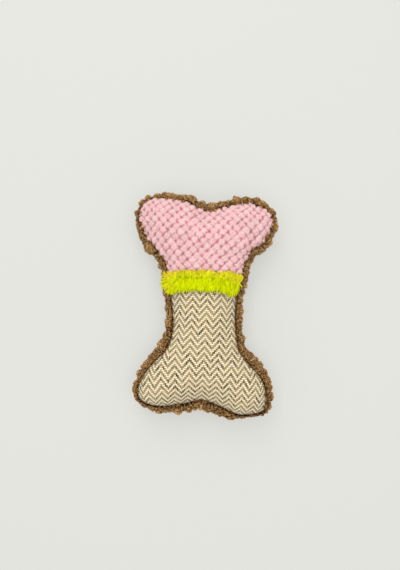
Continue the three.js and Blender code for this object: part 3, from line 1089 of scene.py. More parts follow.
@dataclass(frozen=True)
class FleeceFinish:
    """A napped cloth with painted shade in its hollows and a painted highlight on its tops."""

    name: str
    # hollow is the painted shade colour, middle the cloth's own colour, top the painted highlight
    # colour
    hollow: Colour
    middle: Colour
    top: Colour
    fibre: float = 900.0
    mottle: float = 90.0
    nap_height: float = 0.0003
    sheen: float = 0.25
    gloss: float = 0.15
    tint_swing: float = 0.25

    def make(self) -> Material:
        """Makes the finish.

        Returns:
            The material.
        """
        plain = {"Sheen Weight": self.sheen, "Sheen Roughness": 0.5}
        plain["Specular IOR Level"] = self.gloss
        material, graph, shader = new_finish(self.name, plain)
        height, patches = SharedEffects.nap(graph, self.fibre, self.mottle)
        # The colour goes from painted shade in the hollows to a painted highlight on the tops, by
        # the painted light mark.
        painted_light = graph.attribute("painted_light")
        low = graph.mix(graph.range(painted_light, 0.0, 0.5), self.hollow, self.middle)
        colour = graph.mix(graph.range(painted_light, 0.45, 1.0), low, self.top)
        tint = graph.math("ADD", graph.attribute("tint"), patches)
        swing = graph.range(tint, 0.0, 2.0, 1.0 - self.tint_swing, 1.0 + self.tint_swing / 2)
        tone = graph.math("MULTIPLY", swing, graph.range(height, start=0.8, end=1.1))
        rough = graph.range(height, start=0.98, end=0.86)
        normal = graph.bump(height, self.nap_height)
        graph.cover(shader, graph.toned(colour, tone), rough, normal)
        return material


@dataclass(frozen=True)
class WeaveFinish:
    """A herringbone cloth of coarse yarns, two up and two down, that turns back in each rib."""

    name: str = "herringbone_weave"
    cream: Colour = paint(255, 241, 206)
    tan: Colour = paint(188, 162, 110)
    # The darker tan yarns' colour, which is also the painted shade between yarns and along the
    # seam.
    dark_yarn_and_shade: Colour = paint(72, 55, 22)
    yarn: float = 1.46
    pick: float = 1.725
    rib_yarns: float = 5.0
    repeat: float = 4.0
    lean: float = 0.03
    middle: float = 3.8
    sway: Pair = (1.1, 0.8)
    sway_waves: float = 60.0
    warp_share: float = 2.05
    warp_edge: float = 0.08
    # How dark the painted shade along the seam gets.
    painted_seam_depth: float = 0.8
    fibre: float = 1500.0
    mottle: float = 70.0
    relief: float = 0.0007

    def make(self) -> Material:
        """Makes the finish, which reads the cloth's own map.

        Returns:
            The material.
        """
        plain = {"Sheen Weight": 0.15, "Sheen Roughness": 0.6, "Specular IOR Level": 0.2}
        material, graph, shader = new_finish(self.name, plain)
        flat = graph.add("UVMap", {}, uv_map="cloth").outputs[0]
        place = graph.add("Mapping", {"Vector": flat, "Scale": (1000.0, 1000.0, 1.0)}).outputs[0]
        x, y = graph.add("SeparateXYZ", {0: place}).outputs[:2]
        sway = graph.noise(graph.place(), self.sway_waves)
        across = graph.math("MULTIPLY_ADD", y, -self.lean, x)
        across = graph.math("MULTIPLY_ADD", sway, self.sway[0], across)
        start = self.middle + (self.sway[0] - self.yarn) / 2
        column = graph.math("DIVIDE", graph.math("SUBTRACT", across, start), self.yarn)
        row = graph.math("MULTIPLY_ADD", sway, self.sway[1], y)
        row = graph.math("DIVIDE", row, self.pick)
        number = graph.math("FLOOR", column)
        shifted = graph.math("ADD", row, graph.math("PINGPONG", number, self.rib_yarns))
        turn = graph.math("FLOORED_MODULO", shifted, self.repeat)
        first, last = self.warp_share - self.warp_edge, self.warp_share + self.warp_edge
        warp = graph.range(turn, first, last, 1.0, 0.0)
        warp = graph.math("MULTIPLY", warp, graph.range(turn, 0.0, 0.15))
        over = self._rounded(graph, graph.math("FRACT", column))
        float_share = graph.math("DIVIDE", turn, self.warp_share)
        over = graph.math("MULTIPLY", over, self._rounded(graph, float_share))
        under = self._rounded(graph, graph.math("FRACT", row))
        profile = graph.add("Mix", {0: warp, 2: under, 3: over}, data_type="FLOAT").outputs[0]
        time = graph.math("FLOOR", graph.math("DIVIDE", shifted, self.repeat))
        key = graph.add("CombineXYZ", {0: number, 1: time}).outputs[0]
        strand = graph.add("TexWhiteNoise", {"Vector": key}).outputs["Value"]
        tan = graph.mix(graph.range(strand, 0.5, 1.0, 0.0, 0.9), self.tan, self.dark_yarn_and_shade)
        # Painted shade where the yarns dip between each other.
        painted_yarn_shade = graph.range(profile, 0.1, 0.6, 0.68, 0.0)
        # Painted shade along the seam, read from the seam mark.
        painted_seam_shade = graph.math("MULTIPLY", graph.attribute("seam"), self.painted_seam_depth)
        dark = graph.math("MAXIMUM", painted_yarn_shade, painted_seam_shade)
        colour = graph.mix(dark, graph.mix(warp, self.cream, tan), self.dark_yarn_and_shade)
        height, patches = SharedEffects.nap(graph, self.fibre, self.mottle)
        tone = graph.math("MULTIPLY_ADD", patches, 0.08, 0.98)
        tone = graph.math("MULTIPLY", tone, graph.range(height, start=0.92, end=1.06))
        rough = graph.range(height, start=0.96, end=0.82)
        relief = graph.math("MULTIPLY_ADD", height, 0.18, profile)
        normal = graph.bump(relief, self.relief, 0.9)
        graph.cover(shader, graph.toned(colour, tone), rough, normal)
        return material

    @staticmethod
    def _rounded(graph: Graph, share: Socket) -> Socket:
        """A yarn's height, from 0 at its edges to 1 in its middle."""
        swing = graph.math("SINE", graph.math("MULTIPLY", share, math.pi))
        return graph.math("POWER", graph.math("MAXIMUM", swing, 0.0), 0.6)


@dataclass(frozen=True)
class PileFinish:
    """Long soft hairs with painted shade at their roots, light at their tips, and yellower where
    warm.
    """

    name: str = "long_pile"
    # root is the painted shade deep in the pile
    root: Colour = paint(150, 162, 0)
    middle: Colour = paint(219, 230, 0)
    tip: Colour = paint(238, 246, 0)
    warm_tip: Colour = paint(250, 226, 60)
    fibre: float = 1200.0
    mottle: float = 120.0
    nap_height: float = 0.0001

    def make(self) -> Material:
        """Makes the finish.

        Returns:
            The material.
        """
        plain = {"Specular IOR Level": 0.05}
        material, graph, shader = new_finish(self.name, plain)
        height, patches = SharedEffects.nap(graph, self.fibre, self.mottle)
        along, tint = graph.attribute("along"), graph.attribute("tint")
        # The along mark reads painted shade at the roots, fading towards the tips.
        low = graph.mix(graph.range(along, 0.0, 0.5), self.root, self.middle)
        colour = graph.mix(graph.range(along, 0.5, 1.0, 0.0, 0.8), low, self.tip)
        outer = graph.range(along, 0.25, 0.95, 0.0, 0.95)
        warmth = graph.math("MULTIPLY", graph.attribute("warm"), outer)
        colour = graph.mix(warmth, colour, self.warm_tip)
        both = graph.math("ADD", tint, graph.math("MULTIPLY", patches, 0.25))
        colour = graph.toned(colour, graph.range(both, 0.0, 1.25, 0.76, 1.12))
        rough = graph.range(tint, start=0.55, end=0.75)
        graph.cover(shader, colour, rough, graph.bump(height, self.nap_height))
        return material


@dataclass(frozen=True)
class MouldedFinish:
    """Moulded plastic with a fine grain and duller patches."""

    name: str
    colour: Colour
    shade: Colour
    gloss: float = 0.35
    grain: float = 2500.0
    grain_height: float = 0.00003

    def make(self) -> Material:
        """Makes the finish.

        Returns:
            The material.
        """
        plain = {"IOR": 1.5}
        material, graph, shader = new_finish(self.name, plain)
        height, dull = SharedEffects.moulding(graph, self.grain)
        colour = graph.mix(dull, self.colour, self.shade)
        rough = graph.range(dull, start=self.gloss, end=self.gloss + 0.2)
        graph.cover(shader, colour, rough, graph.bump(height, self.grain_height))
        return material


class Finishes:
    """Every finish of the toy, made once."""

    def __init__(self) -> None:
        """Makes the materials."""
        # Each fleece-like finish lists its painted shade colour, its own colour and its painted
        # highlight colour.
        self.bobble = FleeceFinish(
            "bobble_plush", paint(201, 130, 136), paint(251, 190, 193), paint(254, 218, 217),
            fibre=1100.0, mottle=60.0, nap_height=0.00025, sheen=0.25, tint_swing=0.12,
        ).make()
        self.fleece = FleeceFinish(
            "curly_fleece", paint(52, 29, 9), paint(168, 123, 71), paint(234, 192, 132),
            fibre=700.0, mottle=110.0, nap_height=0.0004, sheen=0.04, gloss=0.03, tint_swing=0.35,
        ).make()
        self.weave = WeaveFinish().make()
        self.pile = PileFinish().make()
        self.fill = FleeceFinish(
            "fibre_fill", paint(214, 212, 206), paint(238, 237, 233), paint(250, 250, 247),
            fibre=500.0, mottle=50.0, nap_height=0.0006, sheen=0.2, tint_swing=0.08,
        ).make()
        self.thread = FleeceFinish(
            "sewing_thread", paint(92, 64, 36), paint(128, 92, 54), paint(160, 120, 76),
            fibre=4000.0, mottle=300.0, nap_height=0.00008, sheen=0.1, tint_swing=0.15,
        ).make()
        self.bladder = MouldedFinish(
            "bladder_plastic", paint(236, 234, 226), paint(224, 221, 210), gloss=0.42,
        ).make()
        self.holder = MouldedFinish(
            "holder_plastic", paint(244, 243, 240), paint(232, 231, 226), gloss=0.28,
            grain=3500.0, grain_height=0.00001,
        ).make()
        self.reed = MouldedFinish(
            "reed_film", paint(226, 214, 178), paint(214, 200, 160), gloss=0.2,
            grain=5000.0, grain_height=0.000005,
        ).make()


def spread(first: Points, second: Points, salt: float) -> Points:
    """A number from 0 to 1 for each pair of whole numbers, the same on each run."""
    return np.abs(np.sin(first * 127.1 + second * 311.7 + salt * 74.7) * 43758.5453) % 1.0


def lumps(points: Points, size: float) -> Points:
    """Rounded lumps over a surface.

    Args:
        points: The places.
        size: How wide a lump is.

    Returns:
        For each place, from 0 in a hollow to 1 on top of a lump.
    """
    near = [noise.voronoi(Vector(point / size))[0] for point in points]
    first = np.array([distances[0] for distances in near])
    second = np.array([distances[1] for distances in near])
    return smoothstep(second - first, 0.0, 0.5) * (1.0 - 0.6 * smoothstep(first, 0.0, 0.75))


@dataclass
class EasedPlan:
    """Small moves in plan that settle the sewn rim and the face's seam as a filled toy has them.

    Each knot is a place round the bone, as a turn from 0 to 1 from the head's notch by the left
    side, and a move outwards there.
    """

    form: BoneForm
    rim: tuple[Pair, ...] = (
        (0.0, 1.5), (0.1, -3.5), (0.14, 0.5), (0.18, 1.0), (0.24, 0.5), (0.31, 1.5), (0.38, 0.0),
        (0.52, 0.0), (0.56, -2.0), (0.61, 0.5), (0.78, 0.0), (0.85, 3.0), (0.93, 0.0),
    )
    seam: tuple[Pair, ...] = (
        (0.0, -1.5), (0.06, -2.5), (0.13, -2.0), (0.2, 0.5), (0.28, 0.0), (0.34, 3.0),
        (0.41, 0.0), (0.48, -4.5), (0.56, -2.5), (0.66, 1.0), (0.78, 0.0), (0.84, 2.0),
        (0.94, -3.0),
    )
    blend: float = 3.0
    fade: float = 30.0
    calm: Pair = (24.0, 32.0)
    step: float = 1.5
    span: Pair = (90.0, 135.0)

    def __post_init__(self) -> None:
        """Works the moves out once, on a grid over the toy."""
        columns = np.arange(-self.span[0], self.span[0] + self.step, self.step)
        rows = np.arange(-self.span[1], self.span[1] + self.step, self.step)
        grid = np.stack(np.meshgrid(columns, rows, indexing="ij"), axis=2)
        self.moves = np.array([self._moves(line) for line in grid])

    def _row(self, knots: tuple[Pair, ...]) -> Points:
        """The moves at the stations of the bone's outline, smooth between the knots.

        Args:
            knots: The places and the moves there.

        Returns:
            One move for each station.
        """
        places, moves = np.array([*knots, (1.0, knots[0][1])]).T
        where = np.arange(self.form.stations) / self.form.stations
        after = np.searchsorted(places, where, side="right")
        share = (where - places[after - 1]) / (places[after] - places[after - 1])
        return lerp(moves[after - 1], moves[after], smoothstep(share, 0.0, 1.0))

    def _moves(self, places: Points) -> Points:
        """The moves at some places of the plan.

        Args:
            places: The places.

        Returns:
            One move for each.
        """
        form = self.form
        away = places[:, None, :] - form.place[None, :, :]
        distance = np.linalg.norm(away, axis=2)
        near = distance.argmin(axis=1)
        inward = -(away[np.arange(len(places)), near] * form.out[near]).sum(axis=1)
        weight = np.exp(-((distance - distance.min(axis=1, keepdims=True)) / self.blend))
        weight /= weight.sum(axis=1, keepdims=True)
        rim = (weight * self._row(self.rim)).sum(axis=1)
        seam = (weight * self._row(self.seam)).sum(axis=1)
        out = unit(weight @ form.out)
        band = form.reach[near]
        move = lerp(rim, seam, smoothstep(inward / band, 0.0, 1.0))
        move = move * (1.0 - smoothstep(inward - band, 0.0, self.fade))
        calm = smoothstep(np.linalg.norm(places, axis=1), *self.calm)
        return out * (move * calm)[:, None]

    def settle(self, piece: Piece) -> None:
        """Moves a finished piece's vertices.

        Args:
            piece: The piece, at the origin.
        """
        count = len(piece.data.vertices)
        places = np.empty(count * 3, dtype=np.float32)
        piece.data.vertices.foreach_get("co", places)
        places = places.reshape(-1, 3).astype(float)
        where = (places[:, :2] / MM + np.array(self.span)) / self.step
        low = np.clip(np.floor(where).astype(int), 0, np.array(self.moves.shape[:2]) - 2)
        share = np.clip(where - low, 0.0, 1.0)[..., None]
        x, y = low[:, 0], low[:, 1]
        first = lerp(self.moves[x, y], self.moves[x + 1, y], share[:, 0])
        second = lerp(self.moves[x, y + 1], self.moves[x + 1, y + 1], share[:, 0])
        places[:, :2] += lerp(first, second, share[:, 1]) * MM
        piece.data.vertices.foreach_set("co", places.astype(np.float32).ravel())
        piece.data.update()


@dataclass
class BobblePanel:
    """The plush panel of the head end, with its rows of soft bobbles."""

    cloth: FlatCloth
    material: Material
    spacing: float = 0.66
    low: Pair = (-88.0, 10.0)
    high: Pair = (88.0, 136.0)
    pitches: Pair = (6.87, 7.21)
    slants: Pair = (44.3, -51.9)
    height: float = 3.1
    radius: float = 4.72
    sway: float = 0.45
    jitter: float = 0.12
    dimple: float = 0.2
    petals: float = 0.12
    crease: float = 0.32
    fuzz: float = 1.4
    swirl: float = 2.6
    rise: Pair = (31.0, 36.0)
    lining: float = 1.2

    def _bobbles(self, flat: Points) -> tuple[Points, Points, Points]:
        """The bobbles' heights, painted light and tints.

        Args:
            flat: The places on the flat cloth.

        Returns:
            Each place's height as a share of a bobble's, its painted light and shade, and its
            bobble's tint.
        """
        turns = np.radians(self.slants)
        basis = np.stack([np.cos(turns), np.sin(turns)]) * np.array(self.pitches)
        sway = np.sin(flat[:, ::-1] * np.array([0.13, 0.11]) + np.array([1.0, 2.0]))
        place = (flat + self.sway * sway) @ np.linalg.inv(basis).T
        best = np.full(len(flat), np.inf)
        second = best
        cell = np.round(place)
        bearing = np.zeros(len(flat))
        for step in ((0, 0), (1, 0), (-1, 0), (0, 1), (0, -1)):
            near = np.round(place) + np.array(step)
            shift = [spread(near[:, 0], near[:, 1], salt) - 0.5 for salt in (1.0, 2.0)]
            away = (place - near - self.jitter * np.stack(shift, axis=1)) @ basis.T
            wide = self.radius * (0.94 + 0.12 * spread(near[:, 0], near[:, 1], 5.0))
            reach = np.linalg.norm(away, axis=1) / wide
            closer = reach < best
            second = np.where(closer, best, np.minimum(second, reach))
            best = np.where(closer, reach, best)
            cell = np.where(closer[:, None], near, cell)
            bearing = np.where(closer, np.arctan2(away[:, 1], away[:, 0]), bearing)
        dome = 1.0 - np.minimum(best, 1.0) ** 2.6
        own = [spread(cell[:, 0], cell[:, 1], salt) for salt in (3.0, 4.0, 6.0, 7.0)]
        dimple = np.exp(-((best / (0.22 + 0.14 * own[2])) ** 2)) * (0.4 + 0.9 * own[3])
        petal = np.cos(np.round(3 + 2 * own[2]) * bearing + 6.3 * own[3]) * best * (1.0 - best**2)
        tall = 0.9 + 0.2 * own[0]
        crease = 1.0 - smoothstep(second - best, 0.0, self.crease)
        height = (dome - self.dimple * dimple + self.petals * petal) * tall - 0.06 * crease
        # Painted light: a painted highlight on the domes and petals, painted shade in the dimples
        # and creases.
        light = dome * tall - 0.4 * dimple + 0.6 * petal - 0.12 * crease
        return height, light, own[1]

    def build(self) -> Piece:
        """Cuts the panel and raises its bobbles.

        Returns:
            The panel as a closed cloth.
        """
        sizes = self.cloth.form.sizes
        rows = (sizes.strip_middle, math.inf)
        sheet, flat, values = self.cloth.sheet(self.spacing, self.low, self.high, rows)
        share, light, tint = self._bobbles(flat)
        tucked = smoothstep(values[:, INWARD], -3.0, 0.5)
        lift = self.height * share * (0.35 + 0.65 * tucked)
        sheet.swell(lift * (0.25 + 0.75 * smoothstep(sizes.row(values), *self.rise)))
        fuzz, swirl = wavy(sheet.points(), self.fuzz), wavy(sheet.points(), self.swirl)
        sheet.swell(0.4 * fuzz + 0.3 * swirl)
        # The painted light follows the fuzz, and painted shade darkens the cloth where it tucks
        # into the seam.
        light = light + 0.16 * fuzz + 0.2 * swirl
        marks = {"painted_light": light * (0.4 + 0.6 * tucked), "tint": tint}
        panel = Workshop.from_bmesh("bobble_cloth", sheet.mesh, self.material, marks)
        return Workshop.lined(panel, self.lining)


@dataclass
class HerringbonePanel:
    """The woven panel of the foot end, smooth but for small puckers along its seam."""

    cloth: FlatCloth
    material: Material
    spacing: float = 0.8
    low: Pair = (-88.0, -136.0)
    high: Pair = (88.0, 44.0)
    pucker: float = 0.45
    pucker_length: float = 9.5
    pucker_reach: float = 6.0
    lobe_gather: float = 0.07
    # how far inside the seam the painted seam shade is full, and where it ends
    painted_shade_band: Pair = (2.4, 4.2)
    lining: float = 0.8

    def build(self) -> Piece:
        """Cuts the panel and puckers its seam.

        Returns:
            The panel as a closed cloth with its own map.
        """
        rows = (-math.inf, self.cloth.form.sizes.strip_middle)
        sheet, flat, values = self.cloth.sheet(self.spacing, self.low, self.high, rows)
        around = np.arctan2(values[:, SINE], values[:, COSINE])
        waves = round(self.cloth.form.girth / self.pucker_length)
        sway = 0.8 * np.sin(7 * around) + 0.5 * np.sin(13 * around + 1.0)
        inward = values[:, INWARD]
        fade = np.exp(-np.maximum(inward, 0.0) / self.pucker_reach)
        fade = fade * smoothstep(inward, -1.0, 3.0)
        sheet.swell(self.pucker * np.sin(waves * around + 2.0 * sway) * fade)
        flat[:, 0] *= 1.0 + self.lobe_gather * smoothstep(-flat[:, 1], 35.0, 95.0)
        # Painted shade along the seam, where the edging's lip shades the cloth.
        marks = {"seam": 1.0 - smoothstep(inward, *self.painted_shade_band)}
        panel = Workshop.from_bmesh("herringbone_cloth", sheet.mesh, self.material, marks, flat)
        return Workshop.lined(panel, self.lining)


@dataclass
class CurlyFleece:
    """Lumpy fleece relief and the small curls that stand in it."""

    material: Material
    lump: float = 8.8
    lump_height: float = 3.5
    lump_reach: float = 0.45
    knot: float = 3.2
    knot_shift: float = 31.7
    knot_height: float = 0.9
    room: float = 2.55
    curl_radius: float = 1.2
    curl_points: int = 8
    thread: float = 0.6
    patch: float = 14.0
    lining: float = 1.0

    def relief(self, points: Points) -> tuple[Points, Points]:
        """The fleece's height over its ground.

        Args:
            points: The places.

        Returns:
            The heights, and the same as shares from 0 to 1.
        """
        wide = lumps(points * np.array([1.0, 1.0, self.lump_reach]), self.lump)
        small = lumps(points + self.knot_shift, self.knot)
        height = self.lump_height * wide + self.knot_height * small
        return height, height / (self.lump_height + self.knot_height)

    def finished(
        self, label: str, sheet: Sheet, moved: Points,
        light: tuple[Points, Points], halves: dict[str, tuple[Points, int]],
    ) -> list[Piece]:
        """The fleece as a closed cloth, and the curls that stand in it.

        Args:
            label: What the names of its pieces begin with.
            sheet: The cloth's sheet.
            moved: Its vertices' places with their relief.
            light: Each vertex's painted light, on the cloth and for its curls, from shade at 0 to
                1.
            halves: By name, which vertices a half of the curls may stand on, and its seed.

        Returns:
            The cloth and the two halves of its curls.
        """
        sheet.place(moved)
        normals = sheet.normals()
        marks = {"painted_light": light[0], "tint": 0.5 + 0.5 * wavy(moved, self.patch)}
        cloth = Workshop.from_bmesh(f"{label}_cloth", sheet.mesh, self.material, marks)
        made = [Workshop.lined(cloth, self.lining)]
        for half, (there, seed) in halves.items():
            name = f"{label}_curls_{half}"
            made.append(self.curls(name, moved[there], normals[there], light[1][there], seed))
        return made

    def curls(
        self, name: str, points: Points, normals: Points, share: Points, seed: int
    ) -> Piece:
        """Curls standing on a fleece, about one to a small square of it.

        Args:
            name: The piece's name.
            points: Places on the fleece.
            normals: Its outward directions there.
            share: The fleece's painted light there, from 0 to 1.
            seed: What the chances start from.

        Returns:
            The curls as one piece.
        """
        source = np.random.default_rng(seed)
        order = source.permutation(len(points))
        boxes = np.floor(points[order] / self.room).astype(int)
        chosen = order[np.unique(boxes, axis=0, return_index=True)[1]]
        middle, out, share = points[chosen], normals[chosen], share[chosen]
        count = len(chosen)
        side = unit(np.cross(out, unit(source.normal(size=(count, 3)))))
        ahead = np.cross(out, side)
        radius = self.curl_radius * source.uniform(0.7, 1.25, count)
        turns = source.uniform(0.9, 1.4, count) * source.choice([-1, 1], count)
        share_along = np.linspace(0, 1, self.curl_points)
        angle = source.uniform(0, 0.6, count)[:, None] + 2 * math.pi * np.outer(turns, share_along)
        drift = (share_along - 0.5)[None, :] * source.uniform(0.8, 2.0, count)[:, None]
        swing = radius[:, None] * np.cos(angle)
        lift = 0.75 * radius[:, None] * np.sin(np.abs(angle)) + 0.25
        lines = (
            middle[:, None, :]
            + side[:, None, :] * swing[..., None]
            + ahead[:, None, :] * drift[..., None]
            + out[:, None, :] * lift[..., None]
        )
        lines[..., 2] = np.maximum(lines[..., 2], self.thread + 0.1)
        taper = np.sin(np.pi * (0.01 + 0.98 * share_along)) ** 0.4
        radii = np.outer(self.thread * source.uniform(0.8, 1.2, count), taper)
        # Each curl's painted light: a painted highlight on its loop's top and over high fleece,
        # painted shade low down.
        height = np.clip(0.12 + 0.65 * share[:, None] + 0.5 * np.sin(np.abs(angle)), 0, 1)
        tint = np.repeat(source.uniform(0, 1, count), self.curl_points)
        marks = {"painted_light": height, "tint": tint}
        return Workshop.strands(name, lines, radii, self.material, marks)


@dataclass
class FleeceEdging:
    """The fleece band that rolls round the toy's side, from the face's seam to the back's."""

    form: BoneForm
    fleece: CurlyFleece
    columns: int = 780
    rows: int = 46
    sink: float = 2.8
    lip_turn: float = 0.1
    lip_depth: float = 6.0
    lap_turn: float = 0.34
    lap_distance: float = 3.0
    lap_room_share: float = 0.6
    seam_bands: Pair = (0.15, 0.11)
    half_turn: float = 0.1

    def _ground(self, around: Points, turn: Points) -> Points:
        """The band under its relief, which laps onto the face and is tucked in beyond its lips.

        Args:
            around: The places round the bone, as turns from 0 to 1.
            turn: From -1 at the lower lip to 1 at the upper one, and beyond them in the tucks.

        Returns:
            The points.
        """
        held = np.clip(turn, -1.0, 1.0)
        points = self.form.edging(around, held * math.pi / 2, -self.sink)
        rise = np.full(len(around), self.lap_turn)
        lap = self.form.dome(Side.FACE, around, rise, self.lap_distance)
        aside = self.form.at(self.form.beside, around) - self.form.sizes.herringbone_thickness
        lap[:, :2] += self.form.at(self.form.out, around) * self.lap_room_share * aside[:, None]
        points = lerp(points, lap, smoothstep(held, 0.5, 1.0)[:, None])
        beyond = (np.abs(turn) - 1.0).clip(0.0) / self.lip_turn
        points[:, 2] -= np.sign(turn) * beyond * self.lip_depth
        return points

    def build(self) -> list[Piece]:
        """Rolls the band round the toy's side.

        Returns:
            The band and its curls.
        """
        sheet = Sheet(self.columns, self.rows)
        limit = 1.0 + self.lip_turn
        turn = lerp(-limit, limit, sheet.share[:, 1])
        sheet.place(self._ground(sheet.share[:, 0], turn))
        turn = sheet.merge(turn)
        points = sheet.points()
        bmesh.ops.recalc_face_normals(sheet.mesh, faces=sheet.mesh.faces[:])
        sheet.face_outwards(unit(points * np.array([1.0, 1.0, 0.0])))
        height, share = self.fleece.relief(points)
        sizes = self.form.sizes
        headward = smoothstep(points[:, 1], sizes.strip_low, sizes.strip_high)
        band = lerp(*self.seam_bands, headward)
        inside = smoothstep((1.02 - np.abs(turn)) / band, 0.0, 1.0)
        moved = points + sheet.normals() * (height * (0.3 + 0.7 * inside))[:, None]
        # Painted light: lighter on the relief's tops, painted shade in the crevices by the lips,
        # and the cloth under the curls painted darker as shade under them.
        shown = share * (0.1 + 0.9 * inside) - 0.5 * (1.0 - inside)
        open_part, upper = inside > 0.35, turn > self.half_turn
        halves = {"upper": (upper & open_part, 11), "lower": (~upper & open_part, 12)}
        light = (np.clip(0.75 * shown, 0, 1), shown)
        return self.fleece.finished("edging", sheet, moved, light, halves)


@dataclass
class BackPanel:
    """The fleece panel that the toy lies on, pressed flat by the floor."""

    cloth: FlatCloth
    fleece: CurlyFleece
    spacing: float = 1.0
    low: Pair = (-88.0, -136.0)
    high: Pair = (88.0, 136.0)
    sink: float = 0.8
    curl_room: float = 1.35

    def build(self) -> list[Piece]:
        """Lays the panel under the toy.

        Returns:
            The panel and its curls.
        """
        sheet, _, values = self.cloth.sheet(self.spacing, self.low, self.high)
        points = sheet.points()
        height, share = self.fleece.relief(points)
        tucked = smoothstep(values[:, INWARD], -2.0, 3.0)
        lift = height * (0.25 + 0.75 * tucked) - self.sink
        moved = points + sheet.normals() * lift[:, None]
        moved[:, 2] = np.maximum(moved[:, 2], self.curl_room)
        open_part, head = values[:, INWARD] > 1.0, moved[:, 1] > 0
        halves = {"head": (head & open_part, 21), "foot": (~head & open_part, 22)}
        # Painted light follows the relief, with painted shade where the panel tucks into the seam.
        light = (share * (0.3 + 0.7 * tucked), share)
        return self.fleece.finished("back", sheet, moved, light, halves)


